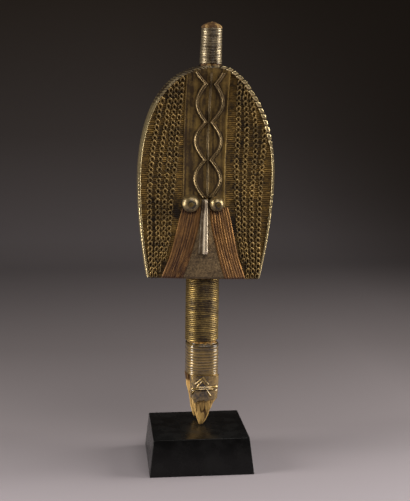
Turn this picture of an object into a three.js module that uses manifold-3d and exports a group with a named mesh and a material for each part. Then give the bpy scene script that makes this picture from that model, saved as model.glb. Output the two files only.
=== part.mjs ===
// A kota reliquary figure: an abstract face of brass and copper strip on a carved wooden core, with a
// wire-bound neck and a broken foot that stands on a black block. Millimetres, +Z up, the face looks
// along -Y, and the origin is the centre of the block's underside.
import * as THREE from "three";
import { mergeVertices } from "three/addons/utils/BufferGeometryUtils.js";
import Module from "manifold-3d";

const wasm = await Module();
wasm.setup();
const { degToRad, lerp, smoothstep } = THREE.MathUtils;

// Fits
const gap = 0.3;

// Stand block
const standTopSide = 94.6;
const standBottomSide = 103;
const standHeight = 36.2;
const standEdge = 0.8;

// Place and pose of the figure on the block
const figureX = 4.2;
const figureY = 13;
const figureTurn = 2.5;
const neckLean = 0.9;
const headLean = 2;

// Foot: heights above the block
const motifBottom = 26.8;
const bandsBottom = 53.4;
const wrapBottom = 85.6;
const headBottom = 152;

// Neck and shoulder of the core
const neckRadius = 15.4;
const wireThickness = 1.5;
const wireRidgePitch = 6.6;
const wireValley = 0.6;
const shoulderX = 0.4;
const shoulderHalfWidth = 14.9;
const shoulderFront = 18.2;
const shoulderBack = 17.2;
const shoulderRoot = 1;
const bandThickness = 1;
const bandRidge = 0.5;
const bandRidges = 9;
const motifThickness = 1;
const motifRelief = 0.7;
const motifLine = 1.1;
const motifX = -1;
const motifDivide = 39.8;
const motifTorn = 4;
const motifStride = 6;

// Head board
const headWidth = 134.4;
const headBottomWidth = 111.8;
const headHeight = 209.2;
const headWidestAt = 100;
const outlineX = -0.9;
const crownFullness = 2.15;
const cheekFullness = 1.8;
const chinForward = 18;
const crownForward = 14;
const dishDepth = 12.5;
const dishLowness = 1.94;
const chinSweep = 7;
const crownBow = 7;
const bowHeight = 150;
const backAtChin = 13;
const backAtCrown = 12.5;
const backRoundAtChin = 22;
const backRoundAtCrown = 2;
const flareRate = 0.07;
const flareStart = 120;

// Topknot
const knotX = 0.8;
const knotRadius = 10;
const knotRoot = 5;
const knotTaper = 1.2;
const knotWrapAboveHead = 38.1;
const knotAboveHead = 44.6;
const knotWrapTop = headHeight + knotWrapAboveHead;
const knotTop = headHeight + knotAboveHead;
const knotWireThickness = 1.2;
const neckRise = 20;
const neckThinning = 0.78;
const neckRoot = 4;

// Metal on the face, each layer a gap above the one below
const sheet = 1.2;
const plate = 0.8;
const copper = 1.2;
const faceCentreX = -1.6;
const panelWidth = 43.4;
const panelCentreX = -3;
const rimLip = 1.2;
const rimWall = 0.9;

// Interlace and rib on the forehead
const interlaceX = 0.1;
const interlaceLoops = 3;
const interlaceBelowCrown = 4.4;
const topWaistBelowCrown = 16.8;
const interlaceTopWaist = headHeight - topWaistBelowCrown;
const interlaceTop = headHeight - interlaceBelowCrown;
const interlaceWaist = 3.2;
const interlaceLoop = 12.9;
const interlaceLeftFlare = 1.45;
const interlaceWidth = 3;
const interlaceHeight = 1.8;
const ribX = 0;
const ribWidth = 1.4;
const ribHeight = 1.1;

// Eyes, nose and cheek bands
const eyeRadius = 8.6;
const eyeDepth = 8.4;
const eyeHeight = 75;
const eyeSpacing = 26.2;
const eyeCentreX = -3.7;
const pinRadius = 2.7;
const pinHead = 1.5;
const pinEdge = 0.65;
const pinOffCentre = 0.7;
const noseBottom = 25.6;
const noseAboveEyes = 4;
const noseTop = eyeHeight + noseAboveEyes;
const noseX = -2.2;
const noseBaseBottom = 9;
const noseBaseTop = 5;
const noseRidgeWidth = 3.6;
const noseHeightBottom = 6;
const noseHeightTop = 4;
const cheekBelowEyes = 3.5;
const cheekTop = eyeHeight - cheekBelowEyes;
const bandInnerTop = 4.6;
const bandInnerBottom = 21.4;
const bandOuterTop = 22.6;
const bandOuterBottom = 42.6;

// Chain-stitch columns
const columnsPerSide = 4;
const linkPitch = 5.2;
const linkWidth = 4.9;
const linkWaist = 3;
const linkHeight = 1.8;
const linkDip = 1;

// Strip down the back of the head
const backSheetAboveNeck = 4;
const backSheetBottom = neckRise + backSheetAboveNeck;
const backStripWidth = 15;

// Number of facets along curves
const outlineSteps = 12;
const neckSides = 12;
const eyeSides = 12;
const pinSides = 8;
const sectionSides = 14;
const gridColumns = 6;
const gridRows = 10;

// Solids and meshes

function toSolid(geometry) {
  const bare = geometry.clone();
  bare.deleteAttribute("normal");
  bare.deleteAttribute("uv");
  const merged = mergeVertices(bare, 1e-4);
  const triVerts = new Uint32Array(merged.index.array);
  return new wasm.Manifold(new wasm.Mesh({
    numProp: 3,
    vertProperties: merged.attributes.position.array,
    triVerts,
  }));
}

function toGeometry(solid) {
  const { numProp, vertProperties, triVerts } = solid.getMesh();
  const positions = new Float32Array((vertProperties.length / numProp) * 3);
  for (let i = 0; i * numProp < vertProperties.length; i++)
    positions.set(vertProperties.subarray(i * numProp, i * numProp + 3), i * 3);
  return indexed(positions, triVerts);
}

function indexed(positions, triangles) {
  const geometry = new THREE.BufferGeometry();
  geometry.setAttribute("position", new THREE.BufferAttribute(new Float32Array(positions), 3));
  geometry.setIndex(new THREE.BufferAttribute(new Uint32Array(triangles), 1));
  return geometry;
}

// A closed solid through rings of as many points each, counter-clockwise about the way they follow.
function loft(rings) {
  const sides = rings[0].length;
  const positions = rings.flatMap((ring) => ring.flatMap((p) => [p.x, p.y, p.z]));
  const triangles = [];
  for (let r = 0; r + 1 < rings.length; r++)
    for (let i = 0; i < sides; i++) {
      const a = r * sides + i;
      const b = r * sides + ((i + 1) % sides);
      triangles.push(a, b, b + sides, a, b + sides, a + sides);
    }
  const last = (rings.length - 1) * sides;
  for (let i = 1; i + 1 < sides; i++) triangles.push(0, i + 1, i, last, last + i, last + i + 1);
  return toSolid(indexed(positions, triangles));
}

// A prism along Y over an outline of x, z points.
function prism(outline, front, back) {
  const shape = new THREE.Shape(outline.map(([x, z]) => new THREE.Vector2(x, z)));
  const geometry = new THREE.ExtrudeGeometry(shape, { depth: back - front, bevelEnabled: false });
  return toSolid(geometry.rotateX(Math.PI / 2).translate(0, back, 0));
}

// A solid turned about Z from a profile of radius, height points.
function turned(profile, sides = neckSides) {
  const points = profile.map(([radius, height]) => new THREE.Vector2(radius, height));
  return toSolid(new THREE.LatheGeometry(points, sides).rotateX(Math.PI / 2));
}

function moved(solid, change) {
  return solid.warp((v) => {
    [v[0], v[1], v[2]] = change(v[0], v[1], v[2]);
  });
}

// Shape of the head board

const halfWidth = headWidth / 2;
const crownRise = headHeight - headWidestAt;

function outlineHalfWidth(z) {
  if (z < headWidestAt) {
    const share = (headWidestAt - z) / headWidestAt;
    return halfWidth - ((headWidth - headBottomWidth) / 2) * share ** cheekFullness;
  }
  const share = Math.min((z - headWidestAt) / crownRise, 1);
  return halfWidth * (1 - share ** crownFullness) ** (1 / crownFullness);
}

// How far the crown swells out of that curve, as shares of the head's height over degrees round from the
// right: fuller at the right of the topknot and flatter at its left.
const crownSwell = [[0, 0], [45, -0.001], [63, -0.004], [72, 0.003], [80, 0.009], [90, 0.001], [100, -0.007],
  [112, -0.005], [128, -0.001], [180, 0]];

function swellAt(x, rise) {
  if (rise <= 0) return 0;
  const degrees = THREE.MathUtils.radToDeg(Math.atan2(rise, x));
  const next = crownSwell.findIndex(([at]) => at > degrees);
  if (next < 1) return 0;
  const [[from, low], [to, high]] = [crownSwell[next - 1], crownSwell[next]];
  return lerp(low, high, smoothstep(degrees, from, to)) * headHeight;
}

// How far a point of the face lies inside the outline.
function roomAt(x, z) {
  const across = x - outlineX;
  const rise = z - headWidestAt;
  if (rise <= 0) return outlineHalfWidth(z) - Math.abs(across);
  const reach = Math.hypot(across, rise);
  const power = Math.abs(across / halfWidth) ** crownFullness + (rise / crownRise) ** crownFullness;
  return reach / power ** (1 / crownFullness) + swellAt(across, rise) - reach;
}

// Points of the outline from the lower right corner over the crown to the lower left one, grown outwards.
function headOutline(grown, bottom) {
  const right = [];
  const lowerSteps = outlineSteps / 2;
  for (let i = 0; i < lowerSteps; i++) {
    const z = lerp(bottom, headWidestAt, i / lowerSteps);
    right.push([outlineHalfWidth(z), z]);
  }
  for (let i = 0; i < outlineSteps; i++) {
    const angle = (i / outlineSteps) * (Math.PI / 2);
    const x = halfWidth * Math.cos(angle) ** (2 / crownFullness);
    right.push([x, headWidestAt + crownRise * Math.sin(angle) ** (2 / crownFullness)]);
  }
  const left = right.map(([x, z]) => [-x, z]).reverse();
  return [...right, [0, headHeight], ...left].map(([x, z]) => {
    const rise = Math.max(z - headWidestAt, 0);
    const out = (grown + swellAt(x, rise)) / Math.hypot(x, rise);
    return [outlineX + x * (1 + out), z < headWidestAt ? z : headWidestAt + rise * (1 + out)];
  });
}

// Smooth face surface along Y: a dish down the middle, bowed back at the chin and forward at the crown.
function smoothFace(x, z) {
  const share = THREE.MathUtils.clamp(z / headHeight, 0, 1);
  const dish = dishDepth * Math.sin(Math.PI * share ** dishLowness);
  const bow = lerp(-chinSweep, crownBow, smoothstep(z, 0, bowHeight));
  return dish - lerp(chinForward, crownForward, share) - bow * (x / halfWidth) ** 2;
}

function smoothBack(x, z) {
  const share = THREE.MathUtils.clamp(z / headHeight, 0, 1);
  const round = lerp(backRoundAtChin, backRoundAtCrown, share);
  return lerp(backAtChin, backAtCrown, share) - round * (x / halfWidth) ** 2;
}

// Every layer of the head is cut from sheets over one grid, so that their facets stay parallel.
const gridMargin = 8;
const gridLeft = -halfWidth - gridMargin;
const gridWidth = headWidth + 2 * gridMargin;
const gridLow = -gridMargin;
const gridTall = headHeight + 2 * gridMargin;

function facetted(surface, x, z) {
  const u = ((x - gridLeft) / gridWidth) * gridColumns;
  const v = ((z - gridLow) / gridTall) * gridRows;
  const i = THREE.MathUtils.clamp(Math.floor(u), 0, gridColumns - 1);
  const j = THREE.MathUtils.clamp(Math.floor(v), 0, gridRows - 1);
  const at = (di, dj) => surface(
    gridLeft + ((i + di) / gridColumns) * gridWidth,
    gridLow + ((j + dj) / gridRows) * gridTall,
  );
  const s = u - i;
  const t = v - j;
  const near = at(0, 0);
  const far = at(1, 1);
  if (s >= t) return near + s * (at(1, 0) - near) + t * (far - at(1, 0));
  return near + t * (at(0, 1) - near) + s * (far - at(0, 1));
}

// A slab over the grid between two surfaces, front one first.
function slab(front, back) {
  const positions = [];
  const triangles = [];
  const count = (gridColumns + 1) * (gridRows + 1);
  for (const surface of [front, back])
    for (let j = 0; j <= gridRows; j++)
      for (let i = 0; i <= gridColumns; i++) {
        const x = gridLeft + (i / gridColumns) * gridWidth;
        const z = gridLow + (j / gridRows) * gridTall;
        positions.push(x, surface(x, z), z);
      }
  const at = (i, j) => j * (gridColumns + 1) + i;
  const quad = (a, b, c, d) => triangles.push(a, b, c, a, c, d);
  for (let j = 0; j < gridRows; j++)
    for (let i = 0; i < gridColumns; i++) {
      const corners = [at(i, j), at(i + 1, j), at(i + 1, j + 1), at(i, j + 1)];
      quad(...corners);
      const [a, b, c, d] = corners.map((corner) => corner + count);
      triangles.push(a, c, b, a, d, c);
    }
  for (let i = 0; i < gridColumns; i++) {
    quad(at(i, 0), at(i, 0) + count, at(i + 1, 0) + count, at(i + 1, 0));
    quad(at(i, gridRows), at(i + 1, gridRows), at(i + 1, gridRows) + count, at(i, gridRows) + count);
  }
  for (let j = 0; j < gridRows; j++) {
    quad(at(0, j), at(0, j + 1), at(0, j + 1) + count, at(0, j) + count);
    const right = at(gridColumns, j);
    const rightAbove = at(gridColumns, j + 1);
    quad(right, right + count, rightAbove + count, rightAbove);
  }
  return toSolid(indexed(positions, triangles));
}

const raisedFace = (height) => (x, z) => smoothFace(x, z) - height;
const raisedBack = (height) => (x, z) => smoothBack(x, z) + height;
const faceLayer = (low, high) => slab(raisedFace(high), raisedFace(low));
const backLayer = (low, high) => slab(raisedBack(low), raisedBack(high));

// The edge of the head flares a little from the face towards the back, most at the crown.
function flared(solid) {
  return moved(solid, (x, y, z) => {
    const depth = Math.max(0, y - smoothFace(x, z));
    const rise = z - headWidestAt;
    const reach = Math.max(Math.hypot(x, rise), 1);
    const out = (flareRate * smoothstep(z, flareStart, headHeight) * depth) / reach;
    return [x * (1 + out), y, z + rise * out];
  });
}

const farFront = -60;
const farBack = 60;
const overHead = headHeight + 2 * gridMargin;

// Layers of metal on the face
const sheetLow = gap;
const sheetHigh = sheetLow + sheet;
const plateLow = sheetHigh + gap;
const plateHigh = plateLow + plate;
const copperHigh = plateLow + copper;
const reliefLow = plateHigh + gap;

// A bar along stations of x, z on a surface, with a base of half width half and a top of half width topHalf.
function barOn(surface, stations, low) {
  const rings = stations.map(({ x, z, half, topHalf, height }, i) => {
    const before = stations[Math.max(i - 1, 0)];
    const after = stations[Math.min(i + 1, stations.length - 1)];
    const along = new THREE.Vector2(after.x - before.x, after.z - before.z).normalize();
    const place = (reach, rise) => {
      const px = x + along.y * reach;
      const pz = z - along.x * reach;
      return new THREE.Vector3(px, surface(px, pz) - rise, pz);
    };
    const top = topHalf > 0 ? [place(-topHalf, low + height), place(topHalf, low + height)]
      : [place(0, low + height)];
    return [place(-half, low), ...top, place(half, low)];
  });
  return loft(rings);
}

const faceFacets = (x, z) => facetted(smoothFace, x, z);

// Half widths of the copper bands about the middle of the face, from the chin up to the eyes
function bandEdge(bottom, top, shares) {
  const points = shares.map(([across, up]) => new THREE.Vector2(lerp(top, bottom, across), up * cheekTop));
  return new THREE.SplineCurve(points);
}
const innerCurve = [[1, 0], [0.66, 0.24], [0.32, 0.52], [0.09, 0.77], [0, 1]];
const outerCurve = [[1, 0], [0.62, 0.3], [0.34, 0.61], [0.15, 0.84], [0, 1]];
const bandInner = bandEdge(bandInnerBottom, bandInnerTop, innerCurve);
const bandOuter = bandEdge(bandOuterBottom, bandOuterTop, outerCurve);
const bandSteps = 8;

function edgeAt(curve, z) {
  let low = 0;
  let high = 1;
  for (let i = 0; i < 30; i++) {
    const middle = (low + high) / 2;
    if (curve.getPoint(middle).y < z) low = middle;
    else high = middle;
  }
  return curve.getPoint(low).x;
}

// Stand block

function standBlock() {
  const square = (side, z) => [[-1, -1], [1, -1], [1, 1], [-1, 1]].flatMap(([sx, sy]) => {
    const far = side / 2;
    const near = far - standEdge;
    const first = new THREE.Vector3(sx * far, sy * near, z);
    const second = new THREE.Vector3(sx * near, sy * far, z);
    return sx * sy > 0 ? [first, second] : [second, first];
  });
  return loft([
    square(standBottomSide, 0),
    square(standTopSide, standHeight - standEdge),
    square(standTopSide - 2 * standEdge, standHeight),
  ]);
}

// Wooden core

const squareness = 0.72;

// Superellipse section of the shoulder or foot. On bare wood every second point is cut in as a split.
function sectionRing({ z, x, half, front, back, split = 0 }, grown = 0) {
  const middle = (front + back) / 2;
  const halfDepth = (back - front) / 2;
  return Array.from({ length: sectionSides }, (_, i) => {
    const angle = (i / sectionSides) * 2 * Math.PI;
    const c = Math.cos(angle);
    const s = Math.sin(angle);
    const kept = i % 2 ? 1 - split : 1;
    return new THREE.Vector3(
      x + (half * kept + grown) * Math.sign(c) * Math.abs(c) ** squareness,
      middle + (halfDepth * kept + grown) * Math.sign(s) * Math.abs(s) ** squareness,
      z,
    );
  });
}

const shoulderTop = wrapBottom - gap;
const shoulderBottom = bandsBottom - shoulderRoot;
const legTop = bandsBottom - gap;

function shoulderSection(z) {
  return { z, x: shoulderX, half: shoulderHalfWidth, front: -shoulderFront, back: shoulderBack };
}

// Levels of a leg as shares: up of the leg's top, sideways of the shoulder's half width and in depth of
// the shoulder's front.
function legLevels(rows) {
  return rows.map(([up, x, half, front, back, split = 0]) => ({
    z: Math.max(up * legTop, gap),
    x: x * shoulderHalfWidth,
    half: half * shoulderHalfWidth,
    front: front * shoulderFront,
    back: back * shoulderFront,
    split,
  }));
}

// The two legs and the wood left between them, from the shoulder down to the broken tips
const frontLeg = legLevels([
  [1, 0.128, 0.913, -0.967, -0.242],
  [0.9, 0.128, 0.906, -0.967, -0.275],
  [0.505, 0.121, 0.839, -0.934, -0.275],
  [0.414, 0.02, 0.744, -0.923, -0.302, 0.12],
  [0.245, -0.013, 0.504, -0.89, -0.385, 0.2],
  [0.113, -0.047, 0.322, -0.846, -0.516, 0.2],
  [0, -0.094, 0.121, -0.78, -0.648],
]);
const backLeg = legLevels([
  [1, -0.047, 0.987, 0.495, 0.923],
  [0.9, -0.047, 0.973, 0.527, 0.934],
  [0.697, -0.02, 0.899, 0.44, 0.934, 0.06],
  [0.527, 0.007, 0.805, 0.33, 0.907, 0.12],
  [0.377, -0.051, 0.655, 0.302, 0.852, 0.15],
  [0.226, -0.145, 0.448, 0.33, 0.769, 0.2],
  [0.132, -0.221, 0.262, 0.385, 0.687, 0.2],
  [0.045, -0.295, 0.074, 0.473, 0.582],
]);
const legWeb = legLevels([
  [0.772, 0.033, 0.765, -0.495, 0.659],
  [0.621, 0.033, 0.779, -0.495, 0.659, 0.12],
  [0.471, 0, 0.658, -0.467, 0.495, 0.2],
  [0.358, 0, 0.403, -0.412, 0.357],
]);

function sectionAt(levels, z) {
  const below = levels.find((level) => level.z <= z) ?? levels.at(-1);
  const above = levels.findLast((level) => level.z > z) ?? levels[0];
  const share = above === below ? 0 : (z - below.z) / (above.z - below.z);
  const mix = (key) => lerp(below[key], above[key], share);
  return { z, x: mix("x"), half: mix("half"), front: mix("front"), back: mix("back") };
}

const legSolid = (levels) => loft([...levels].reverse().map((level) => sectionRing(level)));

// Lathe profile of the topknot core, on the axis at both ends.
function knotRadiusAt(z) {
  return knotRadius - (knotTaper * (z - headHeight)) / (knotTop - headHeight);
}

// A turned stem under a low dome, which is as wide as the wire round the stem.
function topknotCore() {
  const domeSteps = 4;
  const domeFoot = knotWrapTop + gap;
  const domeRadius = knotRadiusAt(domeFoot) + gap + knotWireThickness;
  const root = headHeight - knotRoot;
  const profile = [[0, root], [knotRadius, root], [knotRadiusAt(domeFoot), domeFoot]];
  for (let i = 0; i < domeSteps; i++) {
    const angle = (i / domeSteps) * (Math.PI / 2);
    profile.push([domeRadius * Math.cos(angle), domeFoot + (knotTop - domeFoot) * Math.sin(angle)]);
  }
  profile.push([0, knotTop]);
  return turned(profile).translate(knotX, 0, 0);
}

function headBoard() {
  const body = slab(smoothFace, smoothBack).intersect(prism(headOutline(0, 0), farFront, farBack));
  return flared(body);
}

// The neck runs up into the back of the head and thins out there.
function neckColumn() {
  const foot = shoulderTop - neckRoot;
  const top = headBottom + neckRise;
  const thin = neckThinning * neckRadius;
  const root = Math.min(neckRadius, shoulderHalfWidth - gap);
  const below = [[0, foot], [root, foot], [root, shoulderTop]];
  return turned([...below, [neckRadius, shoulderTop], [neckRadius, headBottom], [thin, top], [0, top]]);
}

const headTilt = degToRad(headLean - neckLean);
const headPlace = new THREE.Matrix4().makeRotationY(headTilt).setPosition(0, 0, headBottom);

function placedHead(solid) {
  const point = new THREE.Vector3();
  return moved(solid, (x, y, z) => point.set(x, y, z).applyMatrix4(headPlace).toArray());
}

function woodCore() {
  const shoulder = loft([shoulderBottom, shoulderTop].map((z) => sectionRing(shoulderSection(z))));
  return placedHead(headBoard().add(topknotCore()))
    .add(neckColumn())
    .add(shoulder)
    .add(legSolid(frontLeg))
    .add(legSolid(backLeg))
    .add(legSolid(legWeb));
}

// Sleeves round the neck, topknot and shoulder

function ribbedSleeve(bottom, top, turns, radiusAt, thickness) {
  const outer = [];
  const steps = turns * 2;
  for (let i = 0; i <= steps; i++) {
    const z = lerp(bottom, top, i / steps);
    const proud = i % 2 ? thickness : thickness * wireValley;
    outer.push([radiusAt(z) + gap + proud, z]);
  }
  const innerTop = [radiusAt(top) + gap, top];
  const innerBottom = [radiusAt(bottom) + gap, bottom];
  return turned([innerBottom, ...outer, innerTop, innerBottom]);
}

function neckWrap() {
  const top = headBottom - 2 * gap;
  const turns = Math.round((top - wrapBottom) / wireRidgePitch);
  return ribbedSleeve(wrapBottom, top, turns, () => neckRadius, wireThickness);
}

function topknotWrap() {
  const bottom = headHeight + flareRate * (crownForward + knotRadius + knotWireThickness) + gap;
  const turns = Math.round((knotWrapTop - bottom) / wireRidgePitch);
  return ribbedSleeve(bottom, knotWrapTop, turns, knotRadiusAt, knotWireThickness).translate(knotX, 0, 0);
}

function shoulderBands() {
  const low = bandsBottom;
  const high = shoulderTop;
  const steps = bandRidges * 2;
  const rings = [];
  for (let i = 0; i <= steps; i++) {
    const z = lerp(low, high, i / steps);
    const proud = gap + bandThickness + (i % 2 ? bandRidge : 0);
    rings.push(sectionRing(shoulderSection(z), proud));
  }
  const inside = loft([
    sectionRing(shoulderSection(low - gap), gap),
    sectionRing(shoulderSection(high + gap), gap),
  ]);
  return loft(rings).subtract(inside);
}

// Depth of the outside of the motif sheet at x, z.
function motifFront(x, z) {
  const { x: middleX, half, front, back } = sectionAt(frontLeg, z);
  const grown = gap + motifThickness;
  const across = Math.min(Math.abs((x - middleX) / (half + grown)), 1);
  const depth = ((back - front) / 2 + grown) * (1 - across ** (2 / squareness)) ** (squareness / 2);
  return (front + back) / 2 - depth;
}

function motifBar(corners) {
  const points = [corners[0]];
  for (const [x, z] of corners.slice(1)) {
    const [fromX, fromZ] = points.at(-1);
    const steps = Math.ceil(Math.hypot(x - fromX, z - fromZ) / motifStride);
    for (let i = 1; i <= steps; i++) points.push([lerp(fromX, x, i / steps), lerp(fromZ, z, i / steps)]);
  }
  const stations = points.map(([x, z]) => ({
    x: motifX + x,
    z,
    half: motifLine,
    topHalf: motifLine / 3,
    height: motifThickness / 2 + motifRelief,
  }));
  return barOn(motifFront, stations, -motifThickness / 2);
}

// Embossed sheet round the front leg, open behind and ragged below: a doubled triangle over a zigzag.
function motifSheet() {
  const top = shoulderBottom - gap;
  const height = top - motifDivide;
  const torn = motifBottom - motifTorn;
  const heights = [torn, motifBottom, motifDivide, lerp(motifDivide, top, 0.6), top];
  const levels = heights.map((z) => sectionAt(frontLeg, z));
  const outside = loft(levels.map((level) => sectionRing(level, gap + motifThickness)));
  const inside = loft([
    sectionRing({ ...levels[0], z: torn - gap }, gap),
    ...levels.slice(1, -1).map((level) => sectionRing(level, gap)),
    sectionRing({ ...levels.at(-1), z: top + gap }, gap),
  ]);
  const far = 3 * shoulderHalfWidth;
  const behind = [[-far, 0], [far, 0], [far, headBottom], [-far, headBottom]];
  const edge = [[0.89, 0.2], [0.44, 0.15], [0.22, -0.15], [0, 0.1], [-0.28, 0], [-0.55, -0.85], [-0.75, 0.45]];
  const ragged = edge.map(([x, rise]) => [x * shoulderHalfWidth, motifBottom + rise * motifTorn]);
  const below = [[-far, 0], [far, 0], [far, ragged[0][1]], ...ragged, [-far, ragged.at(-1)[1]]];
  const lines = [
    [[-0.44, 0.24], [0, 0.9], [0.44, 0.24]],
    [[-0.27, 0.14], [0, 0.62], [0.27, 0.14]],
    [[-0.33, 0.1], [0.33, 0.1]],
    [[-0.68, -0.09], [0.68, -0.09]],
    [[-0.37, -0.09], [-0.64, -0.75]],
    [[0.37, -0.09], [0.64, -0.75]],
  ];
  const onSheet = ([across, up]) => [across * shoulderHalfWidth, motifDivide + up * height];
  const bars = lines.map((line) => motifBar(line.map(onSheet)));
  return bars.reduce((embossed, bar) => embossed.add(bar), outside.subtract(inside))
    .subtract(prism(behind, 0.5 * frontLeg[0].front, farBack))
    .subtract(prism(below, farFront, farBack));
}

// Metal on the head

function faceLaminae() {
  return faceLayer(sheetLow, sheetHigh).intersect(prism(headOutline(0, gap), farFront, farBack));
}

// A strip folded over the edge of the head: a narrow lip on the face and a wall round the side.
function rimBinding() {
  const bottom = 2 * gap;
  const inner = headOutline(gap, bottom);
  const outer = headOutline(gap + rimWall, bottom);
  const lip = headOutline(-rimLip, bottom);
  const rings = inner.map(([x, z], i) => {
    const at = ([px, pz], surface, rise) => new THREE.Vector3(px, facetted(surface, px, pz) + rise, pz);
    return [
      at(outer[i], smoothFace, -plateHigh - gap),
      at(outer[i], smoothBack, plateLow),
      at([x, z], smoothBack, plateLow),
      at([x, z], smoothFace, -plateLow - gap),
      at(lip[i], smoothFace, -plateLow - gap),
      at(lip[i], smoothFace, -plateHigh - gap),
    ];
  });
  const reach = knotRadius + knotWireThickness + 2 * gap;
  const knotHole = new THREE.CylinderGeometry(reach, reach, 4 * knotRoot, neckSides);
  knotHole.rotateX(Math.PI / 2).translate(knotX, 0, headHeight + knotRoot);
  return flared(loft(rings).subtract(toSolid(knotHole)));
}

function foreheadPlate() {
  const half = panelWidth / 2;
  const bottom = cheekTop + gap;
  const outline = [
    [panelCentreX - half, bottom],
    [panelCentreX + half, bottom],
    [panelCentreX + half, overHead],
    [panelCentreX - half, overHead],
  ];
  const inside = prism(headOutline(-rimLip - gap, 1), farFront, farBack);
  return faceLayer(plateLow, plateHigh).intersect(prism(outline, farFront, farBack)).intersect(inside);
}

const interlaceFoot = noseTop + interlaceWidth / 2 + gap;
const interlacePeriod = (interlaceTopWaist - interlaceFoot) / interlaceLoops;

// One of the two strands that cross at the waists, as a run of arches from the nose to the crown.
function interlaceStrand(side) {
  const perPeriod = 8;
  const low = interlaceLoops * perPeriod - 1;
  const high = Math.floor(((interlaceTop - interlaceTopWaist) / interlacePeriod) * perPeriod);
  const stations = [];
  for (let i = -low; i <= high; i++) {
    const turn = i / perPeriod;
    const spread = Math.abs(Math.sin(Math.PI * turn)) * (side < 0 && turn > 0 ? interlaceLeftFlare : 1);
    const reach = interlaceWaist + (interlaceLoop - interlaceWaist) * spread;
    stations.push({
      x: interlaceX + side * reach,
      z: interlaceTopWaist + turn * interlacePeriod,
      half: interlaceWidth / 2,
      topHalf: interlaceWidth / 3,
      height: interlaceHeight,
    });
  }
  return barOn(faceFacets, stations, reliefLow);
}

function foreheadRib() {
  const steps = 6;
  const stations = Array.from({ length: steps + 1 }, (_, i) => ({
    x: ribX,
    z: lerp(interlaceFoot + ribWidth, interlaceTop - ribWidth, i / steps),
    half: ribWidth / 2,
    topHalf: ribWidth / 4,
    height: ribHeight,
  }));
  return barOn(faceFacets, stations, reliefLow);
}

function eyeDome(side) {
  const rings = 3;
  const x = eyeCentreX + (side * eyeSpacing) / 2;
  const low = copperHigh + gap;
  const profile = [[0, -eyeDepth], [eyeRadius, -eyeDepth]];
  for (let i = 0; i < rings; i++) {
    const angle = (i / rings) * (Math.PI / 2);
    profile.push([eyeRadius * Math.cos(angle), eyeDepth * Math.sin(angle)]);
  }
  profile.push([0, eyeDepth]);
  const dome = turned(profile, eyeSides).rotate([90, 0, 0]);
  return dome.translate(x, faceFacets(x, eyeHeight) - low, eyeHeight)
    .intersect(faceLayer(low, low + 2 * eyeDepth));
}

function eyePin(side) {
  const x = eyeCentreX + (side * eyeSpacing) / 2;
  const front = faceFacets(x, eyeHeight) - copperHigh - eyeDepth - 2 * gap;
  const edge = pinHead * pinEdge;
  const profile = [[0, 0], [pinRadius, 0], [pinRadius, edge], [pinRadius * pinEdge, pinHead], [0, pinHead]];
  const pin = turned(profile, pinSides).rotate([90, 0, 0]);
  return pin.translate(x + side * pinOffCentre, front, eyeHeight - pinOffCentre);
}

function noseBlade() {
  const steps = 4;
  const stations = Array.from({ length: steps + 1 }, (_, i) => ({
    x: noseX,
    z: lerp(noseBottom, noseTop, i / steps),
    half: lerp(noseBaseBottom, noseBaseTop, i / steps) / 2,
    topHalf: noseRidgeWidth / 2,
    height: lerp(noseHeightBottom, noseHeightTop, i / steps),
  }));
  return barOn(faceFacets, stations, reliefLow);
}

function cheekPlate() {
  const right = [];
  for (let i = 0; i <= bandSteps; i++) {
    const z = lerp(gap, cheekTop, i / bandSteps);
    right.push([edgeAt(bandInner, z) - gap, z]);
  }
  const outline = [
    ...right.map(([x, z]) => [faceCentreX + x, z]),
    ...right.reverse().map(([x, z]) => [faceCentreX - x, z]),
  ];
  return faceLayer(plateLow, plateHigh).intersect(prism(outline, farFront, farBack));
}

function copperBand(side) {
  const inner = [];
  const outer = [];
  for (let i = 0; i <= bandSteps; i++) {
    const z = lerp(gap, cheekTop, i / bandSteps);
    inner.push([faceCentreX + side * edgeAt(bandInner, z), z]);
    outer.push([faceCentreX + side * edgeAt(bandOuter, z), z]);
  }
  const outline = [...outer, ...inner.reverse()];
  if (side < 0) outline.reverse();
  return faceLayer(plateLow, copperHigh).intersect(prism(outline, farFront, farBack));
}

// Where the columns run, from the outer to the inner one, as shares of the room from the panel to the rim
const columnHeights = [0.03, 0.2, 0.38, 0.56, 0.72, 0.845];
const columnsLeft = [
  [0.934, 0.843, 0.807, 0.767, 0.758, 0.903],
  [0.813, 0.629, 0.61, 0.555, 0.512, 0.613],
  [0.688, 0.486, 0.44, 0.349, 0.317, 0.385],
  [0.579, 0.348, 0.266, 0.184, 0.163, 0.161],
];
const columnsRight = [
  [0.922, 0.753, 0.699, 0.725, 0.892, 1.27],
  [0.758, 0.564, 0.487, 0.545, 0.643, 0.712],
  [0.605, 0.37, 0.305, 0.319, 0.395, 0.443],
  [0.474, 0.235, 0.128, 0.108, 0.149, 0.17],
];

function columnMiddle(side, number, z) {
  const shares = (side < 0 ? columnsLeft : columnsRight)[number];
  const up = Math.min(z / headHeight, columnHeights.at(-1));
  const above = Math.max(1, columnHeights.findIndex((height) => height >= up));
  const t = (up - columnHeights[above - 1]) / (columnHeights[above] - columnHeights[above - 1]);
  const share = lerp(shares[above - 1], shares[above], Math.max(t, 0));
  const panelSide = panelWidth / 2 + Math.abs(panelCentreX);
  return panelSide + (outlineHalfWidth(up * headHeight) - rimLip - panelSide) * share;
}

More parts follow.
